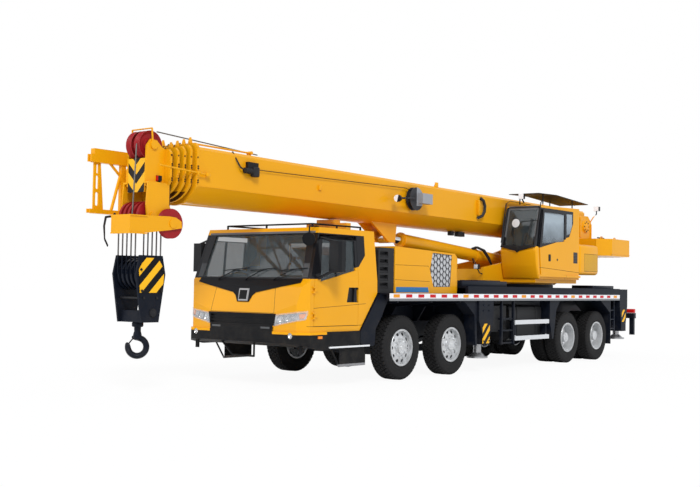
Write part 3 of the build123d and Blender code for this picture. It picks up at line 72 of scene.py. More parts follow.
camera = bpy.data.objects.new("camera", bpy.data.cameras.new("camera"))
bpy.context.scene.collection.objects.link(camera)
right, up, forward = camera_axes()
camera.matrix_world = Matrix((
    (right.x, up.x, -forward.x, EYE.x),
    (right.y, up.y, -forward.y, EYE.y),
    (right.z, up.z, -forward.z, EYE.z),
    (0, 0, 0, 1),
))
camera.data.lens = LENS_MM
camera.data.clip_end = 500
bpy.context.scene.camera = camera
print("camera", tuple(round(v, 2) for v in EYE), "lens", camera.data.lens)

# %% [markdown]
# ## Floor, backdrop and light
# The crane stands on a plain white sheet. What the camera sees of it is nearly all its own white glow, with
# a little of its shading kept for a soft shadow; for everything else it is an ordinary pale surface, so
# that it throws no extra light. Two broad suns and a level sky stand for the studio's soft boxes.

# %% The studio
bpy.context.scene.view_settings.view_transform = "Standard"
bpy.context.scene.view_settings.look = "None"
FLOOR_REACH = 120
SHEET_WHITE = 0.93  # how much of the sheet the camera sees as plain white


def set_world(strength):
    """A level pale sky, plain white for the camera and through glass."""
    world = bpy.data.worlds.new("studio")
    bpy.context.scene.world = world
    world.use_nodes = True
    nodes, links = world.node_tree.nodes, world.node_tree.links
    sky = nodes["Background"]
    sky.inputs["Color"].default_value = (0.93, 0.96, 1.0, 1)
    sky.inputs["Strength"].default_value = strength
    white = nodes.new("ShaderNodeBackground")
    white.inputs["Color"].default_value = (1, 1, 1, 1)
    white.inputs["Strength"].default_value = 1.0
    path = nodes.new("ShaderNodeLightPath")
    either = nodes.new("ShaderNodeMath")
    mix = nodes.new("ShaderNodeMixShader")
    either.operation = "MAXIMUM"
    links.new(path.outputs["Is Camera Ray"], either.inputs[0])
    links.new(path.outputs["Is Transmission Ray"], either.inputs[1])
    links.new(either.outputs[0], mix.inputs[0])
    links.new(sky.outputs[0], mix.inputs[1])
    links.new(white.outputs[0], mix.inputs[2])
    links.new(mix.outputs[0], nodes["World Output"].inputs["Surface"])


def add_sun(name, direction, strength, angle):
    """A sun that shines along the given direction, with a soft edge of the given angle in degrees."""
    lamp = bpy.data.lights.new(name, "SUN")
    lamp.energy, lamp.angle = strength, math.radians(angle)
    holder = bpy.data.objects.new(name, lamp)
    holder.rotation_euler = Vector(direction).to_track_quat("-Z", "Y").to_euler()
    bpy.context.scene.collection.objects.link(holder)


def add_floor():
    """A white sheet under the crane that fades to plain white and keeps the crane's shadow."""
    mesh = bpy.data.meshes.new("floor")
    corners = [(x * FLOOR_REACH, y * FLOOR_REACH, 0) for x, y in ((-1, -1), (1, -1), (1, 1), (-1, 1))]
    mesh.from_pydata(corners, [], [(0, 1, 2, 3)])
    floor = bpy.data.objects.new("floor", mesh)
    bpy.context.scene.collection.objects.link(floor)
    sheet = bpy.data.materials.new("white_sheet")
    sheet.use_nodes = True
    nodes, links = sheet.node_tree.nodes, sheet.node_tree.links
    matt, glow = nodes["Principled BSDF"], nodes.new("ShaderNodeEmission")
    matt.inputs["Base Color"].default_value = (0.9, 0.9, 0.9, 1)
    matt.inputs["Roughness"].default_value = 0.9
    glow.inputs["Strength"].default_value = 1.0
    path = nodes.new("ShaderNodeLightPath")
    mix = nodes.new("ShaderNodeMixShader")
    near = nodes.new("ShaderNodeMath")
    near.operation = "MULTIPLY"
    near.inputs[1].default_value = SHEET_WHITE
    links.new(path.outputs["Is Camera Ray"], near.inputs[0])
    links.new(near.outputs[0], mix.inputs[0])
    links.new(matt.outputs[0], mix.inputs[1])
    links.new(glow.outputs[0], mix.inputs[2])
    links.new(mix.outputs[0], nodes["Material Output"].inputs["Surface"])
    mesh.materials.append(sheet)


set_world(0.75)
add_sun("key", (-0.55, -0.65, -0.75), 1.9, 14)
add_sun("fill", (-0.9, 0.5, -0.35), 0.55, 40)
add_floor()

# %% [markdown]
# ## Writing a finish as sums
# A node tree is easier to read as arithmetic. This small class wraps a socket, so that `1 - mask` or `grain
# * 0.2 + 0.5` adds the Math nodes by itself. Every other node comes from one method, `node`.

# %% Shader sockets as numbers
class Value:
    """A socket of a material that can be added, multiplied and compared."""

    def __init__(self, finish, socket):
        self.finish, self.socket = finish, socket

    def maths(self, operation, first, second=0.0):
        return self.finish.node("ShaderNodeMath", {"operation": operation}, {0: first, 1: second})

    def __add__(self, other):
        return self.maths("ADD", self, other)

    def __sub__(self, other):
        return self.maths("SUBTRACT", self, other)

    def __rsub__(self, other):
        return self.maths("SUBTRACT", other, self)

    def __mul__(self, other):
        return self.maths("MULTIPLY", self, other)

    def __truediv__(self, other):
        return self.maths("DIVIDE", self, other)

    def __gt__(self, other):
        return self.maths("GREATER_THAN", self, other)

    def __lt__(self, other):
        return self.maths("LESS_THAN", self, other)

    def fract(self):
        return self.maths("FRACT", self)

    def absolute(self):
        return self.maths("ABSOLUTE", self)

    def clamp(self):
        return self.maths("MINIMUM", self.maths("MAXIMUM", self, 0.0), 1.0)

    __radd__ = __add__
    __rmul__ = __mul__


class Finish:
    """A material while it is being written."""

    def __init__(self, name, **sockets):
        self.material = bpy.data.materials.new(name)
        self.material.use_nodes = True
        self.tree = self.material.node_tree
        self.shader = self.tree.nodes["Principled BSDF"]
        for socket, value in sockets.items():
            self.shader.inputs[socket.replace("_", " ").title()].default_value = value
        self.shader.inputs["Specular IOR Level"].default_value = 0.2

    def node(self, kind, settings=None, inputs=None, output=0):
        """Adds a node: its settings first, then its sockets' values or links."""
        made = self.tree.nodes.new(kind)
        for key, value in (settings or {}).items():
            setattr(made, key, value)
        for key, value in (inputs or {}).items():
            if isinstance(value, Value):
                self.tree.links.new(value.socket, made.inputs[key])
            else:
                made.inputs[key].default_value = value
        return Value(self, made.outputs[output])

    def place(self):
        """Object coordinates: metres in the crane's own frame."""
        return self.node("ShaderNodeTexCoord", output="Object")

    def axes(self):
        """The three Object coordinates as numbers."""
        place = self.place()
        return [self.node("ShaderNodeSeparateXYZ", inputs={0: place}, output=i) for i in range(3)]

    def noise(self, scale, detail=3.0, rough=0.5, stretch=(1, 1, 1)):
        """Cloudy grain, `scale` lumps a metre, stretched along an axis if wanted."""
        place = self.node("ShaderNodeMapping", inputs={"Vector": self.place(), "Scale": stretch})
        return self.node("ShaderNodeTexNoise", inputs={"Vector": place, "Scale": scale, "Detail": detail,
                                                       "Roughness": rough})

    def mix(self, share, first, second):
        """A colour between two colours."""
        wide = lambda c: (*c, 1) if isinstance(c, tuple) and len(c) == 3 else c
        return self.node("ShaderNodeMix", {"data_type": "RGBA"},
                         {0: share, 6: wide(first), 7: wide(second)}, output=2)

    def film(self, z):
        """Dust in clouds that thicken towards the ground."""
        clouds = (self.noise(5, 6, 0.65) - 0.42).clamp() * 3.2
        low = ((1.5 - z) / 1.6).clamp()
        return clouds * low

    def set(self, **sockets):
        """Links or sets the shader's own sockets."""
        for name, value in sockets.items():
            target = self.shader.inputs[name.replace("_", " ").title()]
            if isinstance(value, Value):
                self.tree.links.new(value.socket, target)
            else:
                target.default_value = value
        return self

    def bump(self, height, depth, strength=1.0):
        """Turns a height between 0 and 1 into a bump `depth` metres deep."""
        normal = self.node("ShaderNodeBump", inputs={"Height": height, "Distance": depth,
                                                     "Strength": strength})
        self.tree.links.new(normal.socket, self.shader.inputs["Normal"])
        return self


print("finish helpers ready")

# %% [markdown]
# ## The finishes
# A crane is mostly paint. Gloss enamel looks real when its gloss is uneven: a faint orange peel in the
# bump, slow drifts of tone and dust that dulls the lower panels. Each finish is a function of its own, so
# that a piece can ask for it by name.

# %% Paints
AMBER = (0.80, 0.36, 0.004)
NIGHT_STEEL = (0.0055, 0.0078, 0.0145)
SOOT = (0.007, 0.0072, 0.0085)
CRIMSON = (0.36, 0.012, 0.016)
SILVER = (0.56, 0.57, 0.58)
SIGNAL_YELLOW = (0.86, 0.45, 0.015)
LAMP_WHITE = (0.8, 0.8, 0.82)
LAMPS_BELOW = 1.2  # glass under this height is a lamp's lens


def gloss_paint(name, colour, shade, dust=(0.42, 0.36, 0.27), roughness=0.3, dusty=0.12):
    """Sprayed enamel: slow drifts of tone, dust towards the ground and a fine orange peel."""
    f = Finish(name)
    cloud = f.noise(0.9, 4, 0.6)
    peel = f.noise(170, 2, 0.5)
    film = f.film(f.axes()[2])
    body = f.mix(cloud, colour, shade)
    f.set(base_color=f.mix((film * dusty).clamp(), body, dust))
    f.set(roughness=(cloud * 0.12 + film * 0.25 + (roughness - 0.05)).clamp())
    f.set(coat_weight=0.06, coat_roughness=0.12)
    return f.bump(peel, 0.0004, 0.25).material


def body_yellow():
    """The amber enamel of the cab, boom and superstructure."""
    return gloss_paint("body_yellow", AMBER, tuple(0.93 * c for c in AMBER))


def deck_steel():
    """Blue-black chassis paint with road dust on its lower faces."""
    return gloss_paint("deck_steel", NIGHT_STEEL, tuple(1.7 * c for c in NIGHT_STEEL), (0.13, 0.12, 0.11),
                       0.42, 0.3)


def black_trim():
    """Moulded black plastic with a fine leathery grain."""
    f = Finish("black_trim")
    grain = f.noise(420, 2, 0.6)
    wear = f.noise(6, 5, 0.6)
    f.set(base_color=f.mix(wear, SOOT, (0.03, 0.03, 0.032)), roughness=wear * 0.2 + 0.42)
    return f.bump(grain, 0.0003, 0.35).material


def silver_paint():
    """Aluminium paint, with the speckle of its flakes."""
    f = Finish("silver_paint", Metallic=0.55)
    flake = f.noise(900, 1, 0.5)
    tone = f.noise(4, 5, 0.6)
    f.set(base_color=f.mix(tone, SILVER, (0.42, 0.43, 0.44)), roughness=flake * 0.15 + tone * 0.1 + 0.24)
    return f.bump(flake, 0.0002, 0.2).material


def wheel_paint():
    """Silver wheel enamel: brake dust gathers round the hub and in the lower corners."""
    f = Finish("wheel_paint", Metallic=0.45)
    flake = f.noise(700, 1, 0.5)
    grime = (f.noise(14, 6, 0.65) - 0.45).clamp() * 2.4
    f.set(base_color=f.mix((grime * 0.45).clamp(), (0.62, 0.63, 0.64), (0.2, 0.19, 0.17)))
    f.set(roughness=flake * 0.1 + grime * 0.2 + 0.26)
    return f.bump(flake, 0.0002, 0.2).material


def tyre_rubber():
    """Matt rubber, greyed by the road."""
    f = Finish("tyre_rubber_finish")
    dust = f.noise(9, 6, 0.7)
    pores = f.noise(260, 2, 0.5)
    f.set(base_color=f.mix((dust * 0.7).clamp(), (0.008, 0.008, 0.009), (0.024, 0.023, 0.022)))
    f.set(roughness=dust * 0.18 + 0.66)
    return f.bump(pores, 0.0005, 0.3).material


def ground_steel():
    """Turned and ground bar for the jacks, with rings left by the tool."""
    f = Finish("ground_steel", Metallic=0.9)
    rings = f.noise(60, 3, 0.5, (0.05, 0.05, 6))
    f.set(base_color=f.mix(rings, (0.5, 0.5, 0.51), (0.3, 0.3, 0.3)), roughness=rings * 0.2 + 0.22)
    return f.bump(rings, 0.0003, 0.2).material


def hard_chrome():
    """The plated rod, bright but for a film of oil."""
    f = Finish("hard_chrome", Metallic=1.0)
    oil = f.noise(7, 4, 0.6)
    f.set(base_color=f.mix(oil, (0.78, 0.79, 0.8), (0.55, 0.54, 0.5)), roughness=oil * 0.14 + 0.06)
    return f.material


def wound_rope():
    """Wire rope laid turn by turn on a drum: grooves every rope's width, strands across them."""
    f = Finish("wound_rope", Metallic=0.6)
    x, y, z = f.axes()
    turn = (y * 45.0).fract() - 0.5
    strand = (((x + z) * 60.0 + y * 220.0).fract() - 0.5).absolute()
    height = (0.5 - turn.absolute()) * 1.4 + strand * 0.4
    grease = f.noise(12, 5, 0.6)
    f.set(base_color=f.mix((grease * 0.8).clamp(), (0.24, 0.23, 0.21), (0.05, 0.045, 0.04)),
          roughness=grease * 0.2 + 0.4)
    return f.bump(height, 0.006, 0.8).material


def crimson_sheave():
    """Cast nylon sheaves in crimson, duller in their grooves."""
    f = Finish("crimson_sheave")
    wear = f.noise(11, 5, 0.6)
    f.set(base_color=f.mix(wear, CRIMSON, (0.2, 0.01, 0.012)), roughness=wear * 0.25 + 0.25)
    return f.bump(f.noise(240, 2), 0.0003, 0.2).material


def cast_black():
    """Painted casting: black with a sandy skin and rubbed edges."""
    f = Finish("cast_black")
    sand = f.noise(130, 3, 0.6)
    rub = (f.noise(8, 6, 0.7) - 0.5).clamp() * 2
    f.set(base_color=f.mix(rub * 0.5, (0.014, 0.014, 0.016), (0.06, 0.058, 0.055)),
          roughness=sand * 0.25 + 0.32)
    return f.bump(sand, 0.0012, 0.4).material


def cab_plastic():
    """Grey moulded lining, seats and dash."""
    f = Finish("cab_plastic")
    grain = f.noise(300, 2, 0.6)
    tone = f.noise(3, 3, 0.5)
    f.set(base_color=f.mix(tone, (0.16, 0.17, 0.19), (0.1, 0.105, 0.115)), roughness=tone * 0.15 + 0.5)
    return f.bump(grain, 0.0004, 0.3).material


def tinted_glass():
    """Laminated glass with a grey tint, and clearer lenses on the lamps, which are lower."""
    f = Finish("tinted_glass", Roughness=0.03)
    f.shader.inputs["Specular IOR Level"].default_value = 0.5
    smear = f.noise(2.5, 4, 0.6)
    lens = f.axes()[2] < LAMPS_BELOW
    f.set(base_color=f.mix(lens, f.mix(smear, (0.035, 0.05, 0.058), (0.075, 0.095, 0.1)), (0.7, 0.72, 0.74)))
    f.set(coat_weight=0.5, alpha=0.40 - lens * 0.22)
    return f.bump(f.noise(1.2, 1), 0.002, 0.06).material


FINISHES = {
    "dark_steel": deck_steel(), "black_plastic": black_trim(), "silver_rail": silver_paint(),
    "yellow_paint": body_yellow(), "interior_plastic": cab_plastic(), "window_glass": tinted_glass(),
    "wheel_silver": wheel_paint(), "tyre_rubber": tyre_rubber(), "jack_steel": ground_steel(),
    "winch_steel": wound_rope(), "sheave_red": crimson_sheave(), "chrome_rod": hard_chrome(),
    "block_black": cast_black(),
}

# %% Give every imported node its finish
node_slot = {sub["node"]: sub["material_slot"] for sub in frame["record"]["subparts"]}

for node, solid in frame["nodes"].items():
    solid.data.materials.clear()
    solid.data.materials.append(FINISHES[node_slot[node]])
print(len(frame["nodes"]), "nodes have a finish")

# %% [markdown]
# ## Modelling by hand
# Blender starts every mesh from a primitive. A modeller then opens edit mode and extrudes, cuts and bevels
# it. The helpers below do those moves: a box that is cut by planes and has its edges rounded, a profile
# spun round an axis and a ring drawn along a path. Before each operator the right faces are selected,
# because an operator acts on whatever is selected.

# %% Modelling helpers

def at(x, y, z):
    """A place measured from the front axle, in the crane's frame."""
    return Vector((x + FRONT_AXLE_X, y, z))


def pick(*pieces):
    """Selects these pieces alone; the first becomes active."""
    bpy.ops.object.select_all(action="DESELECT")
    for piece in pieces:
        piece.select_set(True)
    bpy.context.view_layer.objects.active = pieces[0]


def begin(name, kind, **settings):
    """Adds a primitive with nothing else selected, names it and opens it in edit mode."""
    bpy.ops.object.select_all(action="DESELECT")
    getattr(bpy.ops.mesh, f"primitive_{kind}_add")(**settings)
    made = bpy.context.object
    made.name = made.data.name = name
    bpy.ops.object.transform_apply(location=True, rotation=True, scale=True)
    bpy.ops.object.mode_set(mode="EDIT")
    bpy.ops.mesh.select_mode(type="FACE")
    bpy.ops.mesh.select_all(action="SELECT")
    return made


def end(smooth=None):
    """Closes edit mode with doubles merged and faces outwards; shades smooth below an angle in degrees."""
    bpy.ops.mesh.select_all(action="SELECT")
    bpy.ops.mesh.remove_doubles(threshold=0.00005)
    bpy.ops.mesh.normals_make_consistent(inside=False)
    bpy.ops.object.mode_set(mode="OBJECT")
    if smooth:
        bpy.ops.object.shade_smooth_by_angle(angle=math.radians(smooth))
    return bpy.context.object


def cut(place, normal):
    """Cuts away what lies on the normal's side of a plane, and closes the cut."""
    bpy.ops.mesh.select_all(action="SELECT")
    bpy.ops.mesh.bisect(plane_co=place, plane_no=normal, use_fill=True, clear_outer=True)


def box(name, low, high, round_by=0.0, cuts=(), steps=2):
    """A box between two corners, cut by planes and with rounded edges."""
    low, high = Vector(low), Vector(high)
    size = [abs(b - a) for a, b in zip(low, high)]
    begin(name, "cube", size=1, location=(low + high) / 2, scale=size)
    for place, normal in cuts:
        cut(place, normal)
    if round_by:
        bpy.ops.mesh.select_all(action="SELECT")
        bpy.ops.mesh.bevel(offset=round_by, segments=steps, affect="EDGES", clamp_overlap=True)
    return end(35 if round_by else None)


def turned(name, profile, centre, axis=(0, 1, 0), steps=32, smooth=35):
    """Spins a profile of (radius, distance along the axis) points round an axis through a centre."""
    centre, axis = Vector(centre), Vector(axis).normalized()
    out = axis.orthogonal().normalized()
    points = [centre + out * radius + axis * along for radius, along in profile]
    begin(name, "plane", size=0.01)
    bpy.ops.mesh.merge(type="CENTER")
    bpy.ops.mesh.select_mode(type="VERT")
    bpy.ops.mesh.select_all(action="SELECT")
    bpy.ops.transform.translate(value=points[0])
    for here, there in zip(points, points[1:]):
        bpy.ops.mesh.extrude_region_move(TRANSFORM_OT_translate={"value": there - here})
    bpy.ops.mesh.select_all(action="SELECT")
    bpy.ops.mesh.spin(steps=steps, angle=2 * math.pi, center=centre, axis=axis)
    return end(smooth)


def tube(name, points, radius, sides=10):
    """A bar or hose: a ring extruded from point to point and turned at each bend."""
    points = [Vector(point) for point in points]
    runs = [(there - here).normalized() for here, there in zip(points, points[1:])]
    begin(name, "circle", vertices=sides, radius=radius, fill_type="NGON", location=points[0],
          rotation=runs[0].to_track_quat("Z", "Y").to_euler())
    for number, (here, there) in enumerate(zip(points, points[1:])):
        bpy.ops.mesh.extrude_region_move(TRANSFORM_OT_translate={"value": there - here})
        if number + 1 < len(runs):
            bend = runs[number].rotation_difference(runs[number + 1])
            axis, angle = bend.to_axis_angle()
            if angle > 0.001:
                side = axis.orthogonal().normalized()
                bpy.ops.transform.rotate(value=-angle, orient_axis="Z", orient_type="GLOBAL",
                                         orient_matrix=(side, axis.cross(side), axis),
                                         orient_matrix_type="GLOBAL", center_override=there)
    return end(50)


def reopen(piece):
    """Opens a piece in edit mode again, with all of it selected."""
    pick(piece)
    bpy.ops.object.mode_set(mode="EDIT")
    bpy.ops.mesh.select_all(action="SELECT")


def join(name, pieces):
    """Joins finished pieces into one."""
    pick(*pieces)
    bpy.ops.object.join()
    pieces[0].name = pieces[0].data.name = name
    return pieces[0]


def copied(name, piece, move=(0, 0, 0), mirror=False):
    """A copy with its own mesh, moved, or mirrored to the other side of the crane."""
    pick(piece)
    bpy.ops.object.duplicate(linked=False)
    made = bpy.context.object
    made.name = made.data.name = name
    made.location = move
    if mirror:
        made.scale = (1, -1, 1)
    bpy.ops.object.transform_apply(location=True, rotation=True, scale=True)
    if mirror:
        reopen(made)
        bpy.ops.mesh.normals_make_consistent(inside=False)
        bpy.ops.object.mode_set(mode="OBJECT")
    return made


def ring_of(name, piece, centre, axis, count):
    """Repeats a piece round an axis."""
    reopen(piece)
    bpy.ops.mesh.spin(steps=count, angle=2 * math.pi, center=centre, axis=axis, dupli=True)
    piece.name = piece.data.name = name
    return end(35)


def carve(piece, cutter):
    """Cuts one piece by another, which is then thrown away."""
    carving = piece.modifiers.new("carving", "BOOLEAN")
    carving.object, carving.operation, carving.solver = cutter, "DIFFERENCE", "EXACT"
    bpy.context.view_layer.objects.active = piece
    bpy.ops.object.modifier_apply(modifier=carving.name)
    bpy.data.objects.remove(cutter)


def wear(piece, finish):
    """Gives a piece one finish."""
    piece.data.materials.clear()
    piece.data.materials.append(finish)


def fit(piece, body, slot, finish=None, stands_for=None):
    """Hands a piece to a body and hides the part it stands for, if any; its finish is the slot's, or one
    given.
    """
    wear(piece, finish or FINISHES[slot])
    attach(piece, body)
    if stands_for:
        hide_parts(stands_for)


SIDES = (("left", 1), ("right", -1))


def span(hand, inner, outer):
    """Two places across the crane, low one first, on the left (1) or the right (-1)."""
    return sorted((hand * inner, hand * outer))


print("modelling helpers ready")

# %% [markdown]
# ## Colours that change within a solid
# One pressed shell often carries several colours: the black surround of the windows, the honeycomb of the
# hood, the stripes of a warning plate. Cutting the mesh for each would be slow and would leave seams, so
# these finishes ask where a point lies in the crane's frame and mix the colours there. A region is a
# product of comparisons, 1 inside and 0 outside.

# %% Regions of the finishes
class Region:
    """Coordinates of a finish, measured from the front axle, with tests on them."""

    def __init__(self, finish):
        x, self.y, self.z = finish.axes()
        self.x = x - FRONT_AXLE_X
        self.out = self.y.absolute()

    def between(self, coordinate, low, high):
        """1 between two places along a coordinate."""
        return (coordinate > low) * (coordinate < high)

    def patch(self, along, up):
        """1 in a rectangle of the side view: between two x places and two heights."""
        return self.between(self.x, *along) * self.between(self.z, *up)

    def weave(self, wires, gap):
        """A square mesh in the side view: 0 in gaps that take this share of each wire's step, else 1."""
        return ((self.x * wires).fract() > gap) * ((self.z * wires).fract() > gap)

    def above(self, first, second, across=None):
        """1 above the line through two (coordinate, z) places."""
        slope = (second[1] - first[1]) / (second[0] - first[0])
        return self.z > ((self.x if across is None else across) - first[0]) * slope + first[1]

    def line(self, first, second, wide):
        """1 on a thin line between two (x, z) places."""
        slope = (second[1] - first[1]) / (second[0] - first[0])
        off = (self.z - (self.x - first[0]) * slope - first[1]).absolute()
        return (off < wide * math.hypot(1, slope)) * self.between(self.x, *sorted((first[0], second[0])))

    def stripes(self, pitch, lean, across=None):
        """Slanting warning stripes, 1 on the black ones."""
        coordinate = self.x if across is None else across
        return ((self.z + coordinate * lean) * (1 / pitch)).fract() > 0.5


NEAR_BLACK = 0.1  # darker coats than this are given no gloss


def painted(name, regions, colour=None, roughness=0.3):
    """Enamel in one colour, with others where `regions(r)` says: a list of (mask, colour, roughness)."""
    f = Finish(name)
    r = Region(f)
    colour = colour or AMBER
    cloud = f.noise(0.9, 4, 0.6)
    film = f.film(r.z)
    body = f.mix(cloud, colour, tuple(0.9 * c for c in colour))
    rough = cloud * 0.12 + film * 0.2 + (roughness - 0.05)
    for mask, other, dull in regions(r):
        body = f.mix(mask, body, other)
        rough = rough + mask * (dull - roughness)
    f.set(base_color=f.mix((film * 0.1).clamp(), body, (0.3, 0.26, 0.2)), roughness=rough.clamp())
    dark = sum(colour) < NEAR_BLACK
    if dark:
        f.shader.inputs["Specular IOR Level"].default_value = 0.1
    f.set(coat_weight=0.0 if dark else 0.06, coat_roughness=0.12)
    return f.bump(f.noise(170, 2, 0.5), 0.0004, 0.22).material


# %% The driver's cab and its doors
WINDOW_BLACK = (0.010, 0.010, 0.012)
# Dark amber of the seams; along creases and folds the same colour is painted shade.
SEAM_AND_CREASE_SHADE = (0.05, 0.02, 0.002)
LINING = (0.13, 0.135, 0.145)


def cab_regions(r):
    """Black surround of the windows, grey lining inside, dark seams, painted crease shade, the grille and the
    lamps' bed.
    """
    belt = r.above((1.102, 1.801), (2.077, 1.601)) * r.above((0.936, 1.972), (1.102, 1.801)) * (r.z > 1.598)
    surround = belt * (r.z < 2.285) * (r.x > 0.928)
    inside = ((r.out < 1.166 - (r.z - 1.59) * 0.09) * (r.out < 1.19)
              * r.patch((0.696, 2.181), (0.885, 2.316)))
    front = (r.x > 2.24) * r.between(r.z, 1.09, 1.47)
    bonnet = ((r.out - (1.42 - r.z) * 0.12 - 0.62).absolute() < 0.0035) * front
    lip = r.between(r.z, 1.083, 1.089) * (r.out < 0.66) * (r.x > 2.3)
    # Painted shade: a dark line along the side crease stands for the fold's shadow.
    crease_shade = r.line((0.934, 1.234), (2.187, 1.17), 0.003) * (r.out > 1.19)
    skirt = r.line((0.80, 0.905), (2.30, 0.905), 0.003) * (r.out > 1.0)
    grille = (r.out < 0.69) * r.between(r.z, 0.90, 1.075) * (r.x > 2.35)
    lamps = (r.above((0.69, 0.913), (1.157, 1.008), r.out)
             * (1 - r.above((0.724, 1.056), (1.184, 1.110), r.out)) * r.between(r.out, 0.688, 1.186)
             * (r.x > 2.235))
    corner = (r.x > 2.18) * r.between(r.z, 1.62, 2.25) * (r.out < 1.15 - (r.z - 1.59) * 0.07) * (r.out > 1.0)
    return [(inside, LINING, 0.6), (surround, WINDOW_BLACK, 0.12), (bonnet, SEAM_AND_CREASE_SHADE, 0.6), (lip, SEAM_AND_CREASE_SHADE, 0.6),
            (crease_shade, SEAM_AND_CREASE_SHADE, 0.6), (skirt, SEAM_AND_CREASE_SHADE, 0.6), (grille, SOOT, 0.5), (lamps, (0.45, 0.45, 0.46), 0.2),
            (corner, (0.06, 0.065, 0.07), 0.08)]


def door_regions(r):
    """As the cab, with the mirror and the handle in black and a grey lining."""
    mirror = (r.out > 1.236) * (r.z > 1.50)
    arm = (r.out > 1.236 - (r.z - 1.59) * 0.075) * (r.z > 1.56)
    handle = r.patch((1.10, 1.41), (1.255, 1.482)) * (r.x < 1.41 - (r.z - 1.26) * 0.22)
    lean = (r.z - 1.59) * 0.09
    inside = r.out < 1.172 - (lean > 0) * lean
    return [region for region in cab_regions(r) if region[1] != LINING] + [
        (inside, LINING, 0.6), (mirror, SOOT, 0.35), (arm, SOOT, 0.35), (handle, SOOT, 0.4)]


def bumper_regions(r):
    """Amber corners, white step strips, paler rungs and a bright rim on the blank boss."""
    corner = (r.out > 0.652) * r.between(r.z, 0.781, 0.9) * (r.x > 1.9)
    strip = r.between(r.z, 0.574, 0.601) * (r.out > 1.2455) * (r.x < 1.86)
    trim = r.between(r.out, 0.42, 0.60) * r.between(r.z, 0.855, 0.882) * (r.x > 2.3)
    boss = (r.out < 0.1) * r.between(r.z, 1.255, 1.445) * (r.x > 2.36)
    rung = (r.z < 0.325) * (r.out > 1.19)
    rim = boss * (1 - (r.out < 0.078) * r.between(r.z, 1.28, 1.42))
    return [(corner, AMBER, 0.3), (strip, (0.75, 0.76, 0.78), 0.3), (trim, (0.09, 0.095, 0.10), 0.3),
            (rim, (0.35, 0.35, 0.36), 0.2), (rung, (0.25, 0.25, 0.26), 0.4)]


print("cab finishes ready")

# %% The hood, deck, guards and outrigger posts
def hood_regions(r):
    """Honeycomb grille: dark ribs, pale mesh in the cells. A plain blue plate lies along the foot."""
    panel = (r.above((-1.495, 1.515), (-0.975, 1.511)) * (1 - r.above((-0.945, 2.092), (-1.552, 2.069)))
             * r.between(r.x, -1.56, -0.86) * (r.out > 1.13))
    slant = ((r.x < -0.975 + (r.z - 1.518).absolute() * 0.38)
             * (r.x < -0.868 + (r.z - 1.799).absolute() * -0.27))
    back = r.x > -1.495 - (r.z - 1.52) * 0.105
    panel = panel * slant * back
    cell = panel * (r.out < 1.19)
    mesh = cell * r.weave(160, 0.3)
    plate = (r.between(r.z, 1.415, 1.502) * (r.x > -0.842 + (r.z - 1.415) * 0.35) * (r.x < 0.11)
             * (r.out > 1.19))
    seam = ((r.line((0.14, 1.86), (-0.82, 1.86), 0.003) + r.line((-0.82, 1.86), (-0.86, 1.80), 0.003))
            * (r.out > 1.19))
    # Painted shade: a dark line along the fold in the hood's side stands for its shadow.
    fold = r.line((0.14, 1.62), (-0.86, 1.60), 0.003) * (r.out > 1.19)
    return [(panel, (0.05, 0.05, 0.053), 0.4), (cell, (0.36, 0.365, 0.375), 0.4),
            (mesh, (0.66, 0.67, 0.69), 0.3), (plate, (0.02, 0.17, 0.42), 0.3), (seam, SEAM_AND_CREASE_SHADE, 0.6),
            (fold, SEAM_AND_CREASE_SHADE, 0.6)]


def deck_regions(r):
    """Reflecting strip along the edge: white, with red blocks and an amber one in every six."""
    strip = r.between(r.z, 1.318, 1.399) * (r.out > 1.386) * r.between(r.x, -8.18, 0.54)
    pitch, amber_every = 0.345, 6
    step = (0.54 - r.x) * (1 / pitch)
    block = r.between(step.fract(), 0.3, 0.8) * r.between(r.z, 1.332, 1.386)
    amber = (step * (1 / amber_every)).fract() < 1 / amber_every
    lip = r.between(r.z, 1.278, 1.316) * (r.out > 1.386)
    return [(strip, (0.78, 0.78, 0.80), 0.3), (strip * block, (0.52, 0.015, 0.02), 0.3),
            (strip * block * amber, (0.75, 0.28, 0.02), 0.3), (lip, (0.20, 0.205, 0.215), 0.35)]


def guard_regions(r):
    """The tail bar behind the guards has a red and white strip."""
    tail = (r.x < -9.396) * r.between(r.z, 0.885, 0.955)
    red = ((r.y * 3.3).fract() > 0.5) * tail
    return [(tail, (0.75, 0.75, 0.76), 0.35), (red, (0.5, 0.015, 0.02), 0.35)]


def post_regions(r):
    """Striped warning plates on the outrigger posts."""
    front = r.patch((-2.548, -2.30), (0.515, 0.868))
    rear = r.patch((-8.50, -8.30), (0.80, 1.07))
    plate = (front + rear).clamp() * (r.out > 1.378)
    return [(plate, SIGNAL_YELLOW, 0.3), (plate * r.stripes(0.2, 1.0), SOOT, 0.4)]


print("chassis finishes ready")

# %% The superstructure, boom and hook block
def tail_regions(r):
    """Warning stripes round the tail of the counterweight."""
    return [((r.x < -9.12) * r.stripes(0.2, 1.2, r.y), SOOT, 0.4)]


